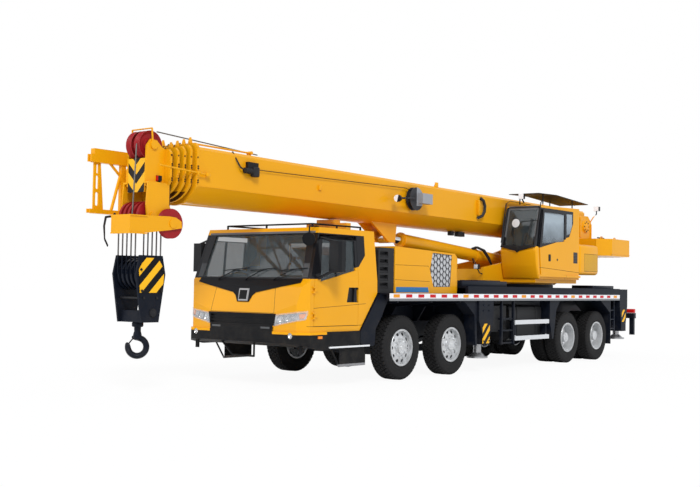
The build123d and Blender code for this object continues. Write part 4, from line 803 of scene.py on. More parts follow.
def operator_regions(r):
    """Black surround of the glass, black visor, a slatted vent on the side painted as a shaded recess, grey
    lining and painted crease shade.
    """
    surround = (r.above((-6.10, 2.62), (-4.64, 2.36)) * (r.z < 3.12) * (r.x > -6.10)
                * (r.x > -6.02 - (r.z - 2.74) * 0.6))
    front = (r.x > -4.66) * r.between(r.z, 2.34, 3.135)
    inside = r.between(r.y, 0.539, 1.2235) * r.patch((-6.342, -4.52), (1.74, 3.165))
    visor = r.z > 3.215
    lens = (r.x > -4.523) * (r.z > 3.29)
    # Painted shade: a dark line along the crease near the foot stands for the fold's shadow.
    crease_shade = r.line((-4.60, 1.93), (-6.38, 1.86), 0.004) * (r.out > 1.25)
    # Painted shade: the vent is a dark patch standing for a shaded recess, with paler slats across it.
    vent = r.patch((-6.31, -6.12), (2.05, 2.28)) * (r.y > 1.25)
    slats = vent * r.between(r.x, -6.295, -6.135) * ((r.z * 31).fract() > 0.45)
    seam = r.between(r.x, -5.738, -5.730) * (r.z < 2.5) * (r.y > 1.25)
    return [(surround, WINDOW_BLACK, 0.15), (front, WINDOW_BLACK, 0.15), (inside, LINING, 0.6),
            (visor, SOOT, 0.5), (lens, LAMP_WHITE, 0.1), (crease_shade, SEAM_AND_CREASE_SHADE, 0.6), (seam, SEAM_AND_CREASE_SHADE, 0.6),
            (vent, SOOT, 0.4), (slats, (0.05, 0.05, 0.055), 0.3)]


def operator_door_regions(r):
    """Black frame round the sliding door's window, and painted shade along its crease."""
    surround = r.above((-5.70, 2.53), (-4.64, 2.33))
    # Painted shade: the crease's dark line carries on across the door.
    crease_shade = r.line((-4.60, 1.93), (-5.70, 1.885), 0.004)
    return [(surround, WINDOW_BLACK, 0.15), (crease_shade, SEAM_AND_CREASE_SHADE, 0.6), (r.out < 1.2695, LINING, 0.6)]


def turntable_regions(r):
    """Amber plates; the floodlight on its neck is black with a pale lens."""
    lamp = (r.z > 3.2) * (r.out > 0.45)
    lens = lamp * (r.x > -8.603)
    slats = ((r.out > 1.236) * r.patch((-7.22, -6.62), (1.96, 2.30))
             * ((r.z * 22).fract() < 0.3))
    return [(lamp, SOOT, 0.4), (lens, LAMP_WHITE, 0.1), (slats, SEAM_AND_CREASE_SHADE, 0.6)]


def boom_regions(r):
    """The cable reel is dark with a grey drive box, the work lamp black with a pale lens."""
    reel = (r.y > 0.415) * r.between(r.x, -1.78, -1.05) * (r.z > 2.8)
    drive = (r.y > 0.5195) * r.between(r.x, -1.79, -1.43) * (r.z > 2.95)
    lamp = (r.y > 0.47) * r.between(r.x, -1.1, -0.6) * (r.z > 2.85)
    lens = (r.y > 0.47) * r.between(r.x, -0.752, -0.5) * (r.z > 2.85)
    plug = (r.y > 0.41) * r.between(r.x, 2.58, 2.88) * (r.z > 3.05)
    seam = r.line((-6.9, 2.715), (3.8, 2.81), 0.003) * (r.out > 0.39)
    return [(seam, SEAM_AND_CREASE_SHADE, 0.6), (reel, (0.03, 0.03, 0.033), 0.4), (drive, (0.30, 0.31, 0.33), 0.4),
            (lamp, SOOT, 0.4), (lens, LAMP_WHITE, 0.1), (plug, SOOT, 0.4)]


def gaps(r):
    """Shadow in the narrow gaps between the collars."""
    gap = (r.between(r.x, 3.842, 3.888) + r.between(r.x, 3.932, 3.976) + r.between(r.x, 4.020, 4.064)
           + r.between(r.x, 4.108, 4.158)) * (r.z > 2.56) * (r.out < 0.375)
    return [(gap, (0.10, 0.035, 0.003), 0.6)]


def head_regions(r):
    """Chevrons down the face between the sheaves, and a red lamp in a black housing."""
    face = (r.out < 0.168) * r.patch((4.50, 4.56), (2.72, 3.20))
    chevron = ((r.z - r.out) * 3.7).fract() > 0.52
    lamp = (r.y > 0.193) * r.patch((4.26, 4.35), (2.89, 2.97))
    lens = lamp * (r.x > 4.342)
    return gaps(r) + [(face, SIGNAL_YELLOW, 0.3), (face * chevron, SOOT, 0.4), (lamp, SOOT, 0.4),
                      (lens, (0.5, 0.01, 0.01), 0.2)]


def block_regions(r):
    """Slanting stripes on the cheeks; the falls of rope are bare wire."""
    cheek = (r.out > 0.2512) * r.between(r.z, 1.36, 1.84) * ((r.x - 4.44).absolute() < 0.24)
    rope = r.z > 1.876
    return [(cheek, SIGNAL_YELLOW, 0.35), (cheek * r.stripes(0.26, 1.0), SOOT, 0.4),
            (rope, (0.16, 0.155, 0.15), 0.4)]


def ladder_regions(r):
    """Ladders are dark steel; the two guard rails beside the tool box are silver."""
    rail = (r.between(r.x, -4.95, -3.545) * (r.between(r.z, 0.82, 0.92) + r.between(r.z, 0.52, 0.62))
            * (r.out > 1.29))
    return [(rail, (0.62, 0.63, 0.65), 0.3)]


NODE_FINISHES = {
    "ladders": painted("ladder_steel", ladder_regions, NIGHT_STEEL, 0.42),
    "cab_shell": painted("cab_enamel", cab_regions),
    "front_bumper": painted("bumper_moulding", bumper_regions, SOOT, 0.42),
    "cab_door_left": painted("door_enamel", door_regions),
    "engine_hood": painted("hood_enamel", hood_regions),
    "deck": painted("deck_edge", deck_regions, NIGHT_STEEL, 0.42),
    "mudguards": painted("guard_steel", guard_regions, NIGHT_STEEL, 0.42),
    "outrigger_beam_front_left": painted("post_steel", post_regions, NIGHT_STEEL, 0.4),
    "counterweight": painted("weight_enamel", tail_regions),
    "operator_cab": painted("operator_enamel", operator_regions),
    "operator_door": painted("operator_door_enamel", operator_door_regions),
    "turntable": painted("turntable_enamel", turntable_regions),
    "boom_base": painted("boom_enamel", boom_regions),
    "boom_head": painted("head_enamel", head_regions),
    "hook_block": painted("block_enamel", block_regions, NIGHT_STEEL, 0.35),
}
NODE_FINISHES["cab_door_right"] = NODE_FINISHES["cab_door_left"]
for number in (2, 3, 4):
    NODE_FINISHES[f"boom_section_{number}"] = painted(f"section_enamel_{number}", gaps)
for place in ("front_right", "rear_left", "rear_right"):
    NODE_FINISHES[f"outrigger_beam_{place}"] = NODE_FINISHES["outrigger_beam_front_left"]
for node, finish in NODE_FINISHES.items():
    wear(frame["nodes"][node], finish)
print(len(NODE_FINISHES), "nodes have regions of their own")

# %% [markdown]
# ## Tyres
# The tyres are block-pattern truck tyres, 1.044 m across. The carcass could be a lathe shape alone, but the
# tread is what the eye reads, so rows of blocks stand on it. One tyre is modelled about the origin: its
# section is spun, each row's block is cut from a box and repeated round the axle, and the finished tyre is
# copied to all twelve places.

# %% One tyre
TYRE_R = 0.522
TREAD_DEEP, CROWN_FALL = 0.022, 0.02  # the tread falls away a little on both sides of its middle line
section = [(0.2865, -0.117), (0.300, -0.1225), (0.316, -0.130), (0.343, -0.140), (0.347, -0.1432),
           (0.352, -0.1432), (0.356, -0.1425), (0.398, -0.1478), (0.43, -0.1483), (0.436, -0.1462),
           (0.442, -0.1472), (0.468, -0.1455), (0.484, -0.139), (0.4955, -0.128), (0.504, -0.112),
           (0.5065, -0.06), (0.507, 0.0)]
section = section + [(radius, -along) for radius, along in reversed(section[:-1])]
carcass = turned("carcass", section + section[:1], (0, 0, 0), steps=60, smooth=40)


def tread_row(name, along, wide, length, skew, pitches, turn=0.0, shoulder=0.0):
    """One row of tread blocks round the tyre: a box with its ends cut aslant, repeated round the axle."""
    top = TYRE_R - 0.0008 - abs(along) * CROWN_FALL
    cuts = [((length / 2, along, top), (1, skew, 0.08)), ((-length / 2, along, top), (-1, -skew, 0.08)),
            ((0, along + wide / 2, top), (0, 1, 0.12)), ((0, along - wide / 2, top), (0, -1, 0.12))]
    if shoulder:
        cuts.append(((0, along + shoulder * wide * 0.30, top), (0, shoulder, 0.62)))
    made = box(name, (-length * 0.62, along - wide * 0.56, top - TREAD_DEEP),
               (length * 0.62, along + wide * 0.56, top), cuts=cuts)
    if turn:
        reopen(made)
        bpy.ops.transform.rotate(value=-turn, orient_axis="Y", center_override=(0, 0, 0))
        bpy.ops.object.mode_set(mode="OBJECT")
    return ring_of(name, made, (0, 0, 0), (0, 1, 0), pitches)


PITCHES = 46
half_pitch = math.pi / PITCHES
tread = [tread_row("centre_blocks", 0.0, 0.044, 0.054, 0.42, PITCHES)]
for hand in (1, -1):
    tread.append(tread_row("mid_blocks", hand * 0.050, 0.042, 0.054, -0.42, PITCHES, half_pitch))
    tread.append(tread_row("shoulder_blocks", hand * 0.104, 0.052, 0.050, 0.2 * hand, PITCHES, 0.0, hand))
tyre = join("tyre_pattern", [carcass] + tread)
print("one tyre:", len(tyre.data.polygons), "faces")

# %% Tyres at their places
AXLES_X = (0.0, -1.475, -5.835, -7.20)
WHEEL_Z, FRONT_TRACK, REAR_TRACK, TWIN = 0.522, 1.117, 1.151, 0.335
for number, axle in enumerate(AXLES_X, start=1):
    for side, hand in SIDES:
        tracks = (FRONT_TRACK,) if number < 3 else (REAR_TRACK, REAR_TRACK - TWIN)
        made = [copied(f"tyre_{number}_{side}_dressed", tyre, at(axle, hand * track, WHEEL_Z))
                for track in tracks]
        whole = join(f"tyre_{number}_{side}_dressed", made)
        fit(whole, f"wheel_{number}_{side}", "tyre_rubber", stands_for=f"tyre_{number}_{side}")
bpy.data.objects.remove(tyre)
print("tyres fitted")

# %% [markdown]
# ## Wheel nuts and hubs
# Ten nuts hold each disc on a circle round the hub. A nut is a six-sided cylinder whose outer face is inset
# twice: the first inset is pushed out into a chamfer, the second is extruded into the end of the stud. Ten
# copies round the hub are one spin.

# %% Nuts, hub caps and hand holes
NUT_CIRCLE, SCREW_CIRCLE, WELL_CIRCLE = 0.148, 0.076, 0.222


def choose(test):
    """Selects the faces whose centre and normal pass a test."""
    bpy.ops.mesh.select_all(action="DESELECT")
    shape = bmesh.from_edit_mesh(bpy.context.object.data)
    for face in shape.faces:
        face.select_set(test(face.calc_center_median(), face.normal))
    shape.select_flush_mode()
    bmesh.update_edit_mesh(bpy.context.object.data)


def bolt(name, place, axis, across=0.030, high=0.018, stud=0.008):
    """A hexagon nut on a face, with the end of its stud."""
    place, axis = Vector(place), Vector(axis).normalized()
    begin(name, "cylinder", vertices=6, radius=across / 1.73, depth=high, location=place + axis * high / 2,
          rotation=axis.to_track_quat("Z", "Y").to_euler())
    choose(lambda centre, normal: normal.dot(axis) > 0.9)
    bpy.ops.mesh.inset(thickness=across * 0.12)
    bpy.ops.transform.translate(value=axis * across * 0.06)
    if stud:
        bpy.ops.mesh.inset(thickness=across * 0.1)
        bpy.ops.mesh.extrude_region_move(TRANSFORM_OT_translate={"value": axis * stud})
    return end()


def hub_dress(name, disc, cap):
    """Nuts at `disc` along the axle, a cap with its screws at `cap`, and the rim's retaining ring."""
    nut = bolt("nut", (NUT_CIRCLE, disc, 0), (0, 1, 0), 0.033, 0.022, 0.012)
    nuts = ring_of("nuts", nut, (0, 0, 0), (0, 1, 0), 10)
    screw = bolt("screw", (SCREW_CIRCLE, cap + 0.008, 0), (0, 1, 0), 0.016, 0.008, 0)
    screws = ring_of("screws", screw, (0, 0, 0), (0, 1, 0), 8)
    lid = turned("lid", [(0.0, cap + 0.012), (0.044, cap + 0.012), (0.050, cap + 0.006), (0.060, cap + 0.008),
                         (0.090, cap + 0.008), (0.0985, cap + 0.003), (0.1008, cap - 0.006),
                         (0.1008, cap - 0.05)], (0, 0, 0), steps=32)
    inner_edge = 0.142 if disc > 0 else 0.140
    clip = turned("clip", [(0.286, inner_edge), (0.296, 0.1425), (0.2985, 0.139)], (0, 0, 0), steps=48)
    return join(name, [lid, nuts, screws, clip])


def hand_wells(name, place, normal):
    """Dark wells in the hand holes of the disc, one on its slope repeated round the axle."""
    place, normal = Vector(place), Vector(normal).normalized()
    begin("well", "cylinder", vertices=14, radius=0.030, depth=0.004, location=place + normal * 0.001,
          rotation=normal.to_track_quat("Z", "Y").to_euler())
    bpy.ops.mesh.bevel(offset=0.0012, segments=1, affect="EDGES")
    return ring_of(name, end(), (0, 0, 0), (0, 1, 0), 10)


front_wells = hand_wells("front_wells", (WELL_CIRCLE, 0.0917, 0), (0.397, 0.918, 0))
rear_wells = hand_wells("rear_wells", (WELL_CIRCLE, -0.119, 0), (-0.707, 0.707, 0))
front_hub = hub_dress("front_hub", 0.1125, 0.1405)
rear_hub = hub_dress("rear_hub", -0.1525, 0.0955)
front, rear = (front_hub, front_wells, FRONT_TRACK), (rear_hub, rear_wells, REAR_TRACK)
for number, axle in enumerate(AXLES_X, start=1):
    for side, hand in SIDES:
        dress, holes, track = front if number < 3 else rear
        for name, source, slot in (("hub", dress, "wheel_silver"), ("wells", holes, "block_black")):
            made = copied(f"{name}_{number}_{side}", source, at(axle, hand * track, WHEEL_Z), hand < 0)
            fit(made, f"wheel_{number}_{side}", slot)
for source in (front_hub, rear_hub, front_wells, rear_wells):
    bpy.data.objects.remove(source)
print("hubs fitted")

# %% [markdown]
# ## Lamps and window panes
# A headlamp reads as real when there is something behind its lens: bowls of bright metal, a bulb in each
# and a stepped strip for the flasher. The door panes are slabs of glass that lean as the door does, so
# they are boxes cut by slanting planes.

# %% Bright metal, bulbs and coloured lenses
def bright_metal():
    """Vacuum-plated reflector with faint flutes."""
    f = Finish("bright_metal", Metallic=1.0, Roughness=0.12)
    flutes = f.noise(35, 2, 0.5)
    f.set(base_color=f.mix(flutes, (0.86, 0.87, 0.88), (0.5, 0.51, 0.53)), roughness=flutes * 0.2 + 0.08)
    return f.bump(flutes, 0.002, 0.5).material


def lens(name, colour, glow=0.25):
    """Moulded plastic lens in one colour, ribbed inside so that it glints."""
    f = Finish(name, Roughness=0.12)
    ribs = f.noise(60, 2, 0.5, (1, 1, 6))
    f.set(base_color=f.mix(ribs, colour, tuple(c * 0.5 for c in colour)), emission_color=(*colour, 1),
          roughness=ribs * 0.15 + 0.08)
    f.shader.inputs["Emission Strength"].default_value = glow
    return f.bump(ribs, 0.002, 0.5).material


CHROME, WHITE_LENS = bright_metal(), lens("white_lens", (0.75, 0.76, 0.78), 0.1)
AMBER_LENS, RED_LENS = lens("amber_lens", (0.85, 0.25, 0.02)), lens("red_lens", (0.55, 0.01, 0.01))


def prism(name, outline, low, high, leans=(), round_by=0.0):
    """A slab between two widths with a convex side outline of (x, z) places, cut by leaning planes."""
    centre = Vector((sum(x for x, z in outline), 0, sum(z for x, z in outline))) / len(outline)
    cuts = []
    for (x0, z0), (x1, z1) in zip(outline, outline[1:] + outline[:1]):
        normal = Vector((z1 - z0, 0, x0 - x1)).normalized()
        if normal.dot(Vector((x0, 0, z0)) - centre) < 0:
            normal = -normal
        cuts.append((at(x0, 0, z0), normal))
    xs, zs = [x for x, z in outline], [z for x, z in outline]
    return box(name, at(min(xs), low, min(zs)), at(max(xs), high, max(zs)), round_by,
               cuts + [(at(*place), normal) for place, normal in leans])


# %% Panes of the driver's doors
LEAN_OUT, LEAN_IN = (0.0, 0.996, 0.0894), (0.0, -0.996, -0.0894)  # normals of the upper door
for side, hand in SIDES:
    pane = prism("pane", [(1.184, 1.735), (2.046, 1.554), (1.956, 2.196), (1.184, 2.196)], 1.05, 1.23,
                 [((0, 1.200, 1.590), LEAN_OUT), ((0, 1.194, 1.590), LEAN_IN)])
    rail = prism("rail", [(1.62, 1.60), (1.655, 1.60), (1.655, 2.2), (1.62, 2.2)], 1.05, 1.23,
                 [((0, 1.206, 1.590), LEAN_OUT), ((0, 1.186, 1.590), LEAN_IN)])
    for name, piece, slot in (("pane", pane, "window_glass"), ("pane_bar", rail, "black_plastic")):
        fit(copied(f"door_{name}_{side}", piece, mirror=hand < 0), f"door_{side}", slot)
        bpy.data.objects.remove(piece)
print("panes fitted")

# %% Headlamps, fog lamps and markers
def bowl(name, place, axis, radius, deep):
    """A reflector: a dish spun round its own axis with a bulb in the middle."""
    profile = [(0.006, -deep), (radius * 0.45, -deep * 0.8), (radius * 0.8, -deep * 0.4), (radius, 0.0),
               (radius * 1.06, 0.0), (radius * 1.06, -0.01), (radius * 0.8, -deep * 0.55), (0.0, -deep * 1.1)]
    dish = turned(f"{name}_dish", profile, place, axis, 24)
    bulb = turned(f"{name}_bulb", [(0, -deep * 0.2), (radius * 0.14, -deep * 0.25), (radius * 0.16, -deep),
                                   (0, -deep)], place, axis, 12)
    return join(name, [dish, bulb])


def strip(name, first, second, high, thick, steps):
    """A stepped strip of lens between two places, cut into facets by shallow grooves."""
    first, run = Vector(first), Vector(second) - Vector(first)
    made = box(name, (-thick / 2, 0, -high / 2), (thick / 2, run.length, high / 2), 0.003, steps=1)
    bpy.ops.object.mode_set(mode="EDIT")
    for step in range(1, steps):
        bpy.ops.mesh.select_all(action="SELECT")
        bpy.ops.mesh.bisect(plane_co=(0, run.length * step / steps, 0), plane_no=(0, 1, 0.2))
    bpy.ops.object.mode_set(mode="OBJECT")
    made.rotation_euler = Vector((0, 1, 0)).rotation_difference(run.normalized()).to_euler()
    made.location = first
    pick(made)
    bpy.ops.object.transform_apply(location=True, rotation=True, scale=True)
    return made


inner = bowl("inner_bowl", at(2.405, 0.775, 0.985), (1, 0.15, 0.12), 0.058, 0.045)
middle = bowl("middle_bowl", at(2.392, 0.905, 1.005), (1, 0.2, 0.12), 0.054, 0.042)
outer = bowl("outer_bowl", at(2.375, 1.02, 1.025), (1, 0.3, 0.12), 0.046, 0.036)
fog = bowl("fog_bowl", at(2.422, 0.981, 0.762), (1, 0.0, 0.0), 0.040, 0.03)
reflectors = join("headlamp_left", [inner, middle, outer, fog])
flasher = strip("flasher_left", at(2.345, 1.085, 1.045), at(2.295, 1.170, 1.06), 0.07, 0.02, 5)
marker = box("marker_left", at(2.02, 1.2405, 0.722), at(2.11, 1.262, 0.762), 0.005)
tail = box("tail_left", at(-9.395, 1.02, 0.985), at(-9.30, 1.24, 1.075), 0.008)
for name, piece, finish, slot in (("headlamp", reflectors, CHROME, "chrome_rod"),
                                  ("flasher", flasher, AMBER_LENS, "yellow_paint"),
                                  ("side_marker", marker, AMBER_LENS, "yellow_paint"),
                                  ("tail_lamp", tail, RED_LENS, "sheave_red")):
    for side, hand in SIDES:
        fit(copied(f"{name}_{side}", piece, mirror=hand < 0), "carrier", slot, finish)
    bpy.data.objects.remove(piece)
print("lamps fitted")

# %% [markdown]
# ## Operator's cab
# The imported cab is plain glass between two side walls. Its pressed apron, with a V at the foot of the
# windscreen, stands in front of the low part of the glass. It is cut from a box by the slope of the front
# and by the slope of the door's edge, then rounded; the fold near the foot is another cut. Glass, frames,
# wipers and the rounded pod follow.

# %% The apron and the pod
apron = box("operator_apron", at(-4.72, 0.488, 1.70), at(-4.40, 1.292, 2.345), 0.03, steps=3,
            cuts=((at(-4.524, 0, 1.705), (0.985, 0, -0.173)), (at(-4.427, 0, 2.25), (0.96, 0, 0.28)),
                  (at(-4.556, 0, 1.705), (0.957, 0, -0.289)), (at(-4.625, 0, 1.79), (-1, 0, 0.11))))
begin("apron_notch", "cylinder", vertices=3, radius=0.15, depth=0.4, location=at(-4.5, 0.88, 2.42),
      rotation=(math.pi / 2, math.pi, math.pi / 2))
carve(apron, end())
fit(apron, "superstructure", "yellow_paint")


def pod_regions(r):
    """Honeycomb mesh on the pod's side, and the seams round it."""
    panel = r.patch((-7.26, -6.62), (1.90, 2.26)) * (r.out > 1.25)
    rim = (r.patch((-7.268, -6.612), (1.892, 2.268)) * (r.out > 1.25)) - panel
    return [(rim, SEAM_AND_CREASE_SHADE, 0.6), (panel, (0.42, 0.24, 0.03), 0.5),
            (panel * r.weave(45, 0.25), (0.70, 0.36, 0.02), 0.4)]


pod = box("pod_cover", at(-7.335, 0.60, 1.82), at(-6.395, 1.272, 2.462), 0.075, steps=4)
fit(pod, "superstructure", "yellow_paint", painted("pod_enamel", pod_regions))
print("apron and pod", len(apron.data.polygons) + len(pod.data.polygons), "faces")

# %% Windscreen rim, hand rails, wipers, glass and handles
FOLD_Z, LOW_LEAN, HIGH_LEAN = 2.33, 0.176, 0.289  # the screen leans out up to its fold, then back
MIRROR_PLACE, MIRROR_AXIS = at(-4.40, 0.86, 2.80), (1, 0, 0.1)


def screen(y, z, off=0.012):
    """A place on the operator's windscreen, a little ahead of it."""
    x = -4.57 + (z - 1.705) * LOW_LEAN if z < FOLD_Z else -4.46 - (z - FOLD_Z) * HIGH_LEAN
    return at(x + off, y, z)


corner = [(0.05 * math.sin(a), 0.05 * math.cos(a)) for a in (0, math.pi / 6, math.pi / 3, math.pi / 2)]
edge = [screen(0.515, 2.33), screen(0.515, 2.70)]
edge += [screen(0.565 - dy, 3.09 + dz) for dz, dy in corner]
edge += [screen(1.197 + dz, 3.09 + dy) for dz, dy in corner]
edge += [screen(1.247, 2.70), screen(1.247, 2.33)]
rim = tube("screen_rim", edge, 0.022, 8)
foot = tube("screen_foot", [screen(0.52, 2.35), screen(0.76, 2.35), screen(0.88, 2.255),
                            screen(1.00, 2.35), screen(1.24, 2.35)], 0.017, 8)
badge = turned("screen_badge", [(0, 0.004), (0.034, 0.004), (0.040, -0.004), (0.040, -0.03), (0, -0.03)],
               at(-4.392, 0.88, 2.305), (1, 0, 0), 24)
rails = [tube("rail_in", [screen(0.50, 2.42, 0.03), screen(0.49, 2.95, 0.05), at(-4.66, 0.49, 3.22),
                          at(-4.80, 0.50, 3.285), at(-5.6, 0.53, 3.265)], 0.0125, 8),
         tube("rail_out", [screen(1.27, 2.60, 0.03), screen(1.275, 2.95, 0.05), at(-4.66, 1.27, 3.22),
                           at(-4.80, 1.25, 3.285), at(-6.2, 1.245, 3.262)], 0.0125, 8)]
arms = []
for name, foot_y, tip_y, tip_z in (("long", 0.80, 0.70, 2.86), ("short", 1.03, 1.10, 2.80)):
    pivot, tip = screen(foot_y, 2.37, 0.03), screen(tip_y, tip_z, 0.035)
    blade = [screen(tip_y, tip_z - 0.30, 0.018), screen(tip_y, tip_z + 0.10, 0.018)]
    arms += [tube(f"wiper_{name}", [pivot, tip], 0.008, 6), tube(f"blade_{name}", blade, 0.009, 6),
             turned(f"wiper_foot_{name}", [(0, 0.02), (0.02, 0.02), (0.026, -0.03), (0, -0.03)], pivot,
                    (1, 0, 0), 12)]
vee = box("screen_vee", at(-4.46, 0.74, 2.22), at(-4.404, 1.02, 2.352), 0.006, steps=1,
          cuts=((at(-4.4, 0.87, 2.225), (0, -0.70, -0.71)), (at(-4.4, 0.89, 2.225), (0, 0.70, -0.71))))
chin = box("screen_chin", at(-4.46, 0.505, 2.24), at(-4.406, 1.255, 2.352), 0.005, steps=1,
           cuts=((at(-4.4, 0.80, 2.262), (0, -0.24, -0.97)), (at(-4.4, 0.96, 2.262), (0, 0.24, -0.97))))
mirror_back = turned("mirror_back", [(0, -0.045), (0.05, -0.04), (0.092, -0.012), (0.098, 0.0),
                                     (0.094, 0.004), (0, 0.004)], MIRROR_PLACE, MIRROR_AXIS, 28)
mirror_arm = tube("mirror_arm", [at(-4.43, 0.86, 2.80), at(-4.48, 1.02, 2.84), at(-4.57, 1.27, 2.86)],
                  0.009, 8)
mirror_face = turned("mirror_face", [(0, 0.009), (0.05, 0.0075), (0.086, 0.004), (0.086, 0.002),
                                     (0, 0.002)], MIRROR_PLACE, MIRROR_AXIS, 28)
# Painted reflection: the mirror's face wears the pale white lens finish, whose faint glow stands for what it
# reflects.
fit(mirror_face, "superstructure", "chrome_rod", WHITE_LENS)
black = join("operator_trim", [chin, mirror_back, mirror_arm, vee, rim, foot, badge, *rails, *arms])
fit(black, "superstructure", "black_plastic")


def clear_glass():
    """Window seen from outside: a painted reflection of the sky above, darker glass below, a little of the
    inside.
    """
    f = Finish("clear_glass", Roughness=0.05)
    f.shader.inputs["Specular IOR Level"].default_value = 0.5
    z = f.axes()[2]
    # Painted reflection: the glass turns pale sky colour above about 2.55 m, with a cloudy edge.
    sky = ((z - 2.55 + f.noise(2.2, 3, 0.5) * 0.5) * 1.9).clamp()
    f.set(base_color=f.mix(sky, (0.045, 0.055, 0.07), (0.42, 0.50, 0.56)), alpha=sky * 0.15 + 0.55)
    return f.material


sky_glass = clear_glass()
pane = prism("door_pane", [(-5.655, 2.46), (-4.665, 2.385), (-4.755, 3.045), (-5.655, 3.045)], 1.274, 1.282)
fit(pane, "operator_door", "window_glass", sky_glass)
filler = prism("quarter_frame", [(-6.30, 2.61), (-5.77, 2.53), (-5.77, 3.115), (-6.30, 3.13)], 1.250, 1.2612)
fit(filler, "superstructure", "yellow_paint", NODE_FINISHES["operator_cab"])
quarter = prism("quarter_pane", [(-6.045, 2.82), (-5.95, 2.655), (-5.80, 2.62), (-5.80, 3.055),
                                 (-6.045, 3.06)], 1.2605, 1.2628)
fit(quarter, "superstructure", "window_glass", sky_glass)
handle = box("door_handle", at(-5.03, 1.288, 2.06), at(-4.94, 1.312, 2.20), 0.012)
lock = turned("door_lock", [(0, 0.014), (0.022, 0.014), (0.026, 0.0), (0, 0)], at(-5.32, 1.292, 2.10),
              (0, 1, 0), 16)
fit(join("operator_handle", [handle, lock]), "operator_door", "black_plastic")
print("operator's cab dressed")

# %% [markdown]
# ## Boom, head and hook block
# Each section leaves the one behind it through a collar with wear pads behind adjusters. Their covers,
# bolts and hoses are cut and spun here and ride the section that they are bolted to. The rope over the
# head's face runs from the top sheaves to the low ones, both on the head.

# %% Collars, adjusters and hoses of the boom
FRONT_X, PIVOT_Z = 4.92, 2.95  # the head's front, and the height of the boom's pivot
PIVOT_BACK, BOOM_SLOPE = 13.22, 0.00873  # the pivot's distance behind that front; the resting boom's slope
COLLAR_LONG = 0.042
# each collar: its section, its place behind the front, half its width, its top and its thickness
collars = [("boom", -1.080, 0.400, 0.365, 0.042), ("boom_2", -0.990, 0.368, 0.335, 0.036),
           ("boom_3", -0.902, 0.336, 0.305, 0.036), ("boom_4", -0.814, 0.304, 0.275, 0.036),
           ("boom_5", -0.720, 0.272, 0.245, 0.036)]
# Painted shade: the collar bolts are a shaded brown at the sides and a lighter brown on top, above 3.35 m,
# where the light falls.
shaded_bolt_paint = painted("bolts_with_painted_shade", lambda r: [(r.z > 3.35, (0.16, 0.08, 0.02), 0.4)],
                      (0.09, 0.04, 0.008), 0.35)
for number, (body, back, half, top, rise) in enumerate(collars):
    x, lift = FRONT_X + back, PIVOT_Z + BOOM_SLOPE * (PIVOT_BACK + back)
    out, middle = half + rise, x - COLLAR_LONG / 2
    parts, covers = [], []
    for hand in (1, -1):
        y0, y1 = span(hand, out - 0.004, out + 0.014)
        for name, low, high in (("cover", 0.02, 0.10), ("cover_low", -0.17, -0.10)):
            covers.append(box(f"{name}_{number}", at(x - COLLAR_LONG + 0.006, y0, lift + low),
                              at(x - 0.006, y1, lift + high), 0.004, steps=1))
        for z, proud in ((0.045, 0.013), (0.075, 0.013), (-0.12, 0.013), (-0.15, 0.013), (0.20, 0.0)):
            parts.append(bolt(f"pad_bolt_{number}", at(middle, hand * (out + proud), lift + z), (0, hand, 0),
                              0.022, 0.012, 0.006))
    for y in (-0.16, -0.08, 0.08, 0.16):
        parts.append(bolt(f"top_bolt_{number}", at(middle, y, lift + top + rise), (0, 0, 1), 0.024, 0.014,
                          0.006))
    fit(join(f"adjusters_{number}", covers), body, "yellow_paint")
    fit(join(f"adjuster_bolts_{number}", parts), body, "dark_steel", shaded_bolt_paint)
stay = [tube("stay_bar", [at(3.62, 0.452, 3.03), at(4.50, 0.446, 3.085)], 0.011, 8),
        box("stay_end", at(3.58, 0.436, 3.005), at(3.66, 0.468, 3.055), 0.006),
        box("guide_plate", at(-3.69, 0.396, 2.93), at(-3.655, 0.46, 3.22), 0.006),
        box("side_clip", at(1.10, 0.396, 3.02), at(1.16, 0.43, 3.10), 0.006),
        box("top_bracket", at(-2.35, 0.33, 3.36), at(-2.28, 0.37, 3.45), 0.006)]
fit(join("boom_fittings", stay), "boom", "yellow_paint")
plug = [box("plug_box", at(2.60, 0.405, 3.085), at(2.73, 0.495, 3.235), 0.025, steps=3),
        turned("plug_rings", [(0.0, -0.13), (0.045, -0.13)]
               + [(0.045 - 0.008 * (n % 2), -0.115 + n * 0.02) for n in range(10)]
               + [(0.045, 0.10), (0.0, 0.12)], at(2.78, 0.45, 3.165), (1, 0, 0), 16),
        tube("plug_cable", [at(2.88, 0.45, 3.17), at(2.96, 0.44, 3.20), at(3.02, 0.42, 3.30),
                            at(3.05, 0.36, 3.42)], 0.012, 8),
        tube("reel_cable", [at(-1.75, 0.46, 3.13), at(-1.2, 0.44, 3.25), at(0.2, 0.425, 3.23),
                            at(2.62, 0.43, 3.20)], 0.006, 6),
        tube("side_loop", [at(-3.78, 0.41, 3.27), at(-3.835, 0.45, 3.22), at(-3.85, 0.475, 3.11),
                           at(-3.83, 0.478, 3.00), at(-3.77, 0.47, 2.92), at(-3.68, 0.42, 2.87)], 0.03, 10),
        box("belly_clip", at(-3.56, 0.10, 2.50), at(-3.33, 0.20, 2.588), 0.008),
        box("belly_clip_rear", at(-3.24, 0.08, 2.51), at(-3.12, 0.16, 2.592), 0.008)]
fit(join("boom_hoses", plug), "boom", "black_plastic")
print("boom fitted out")

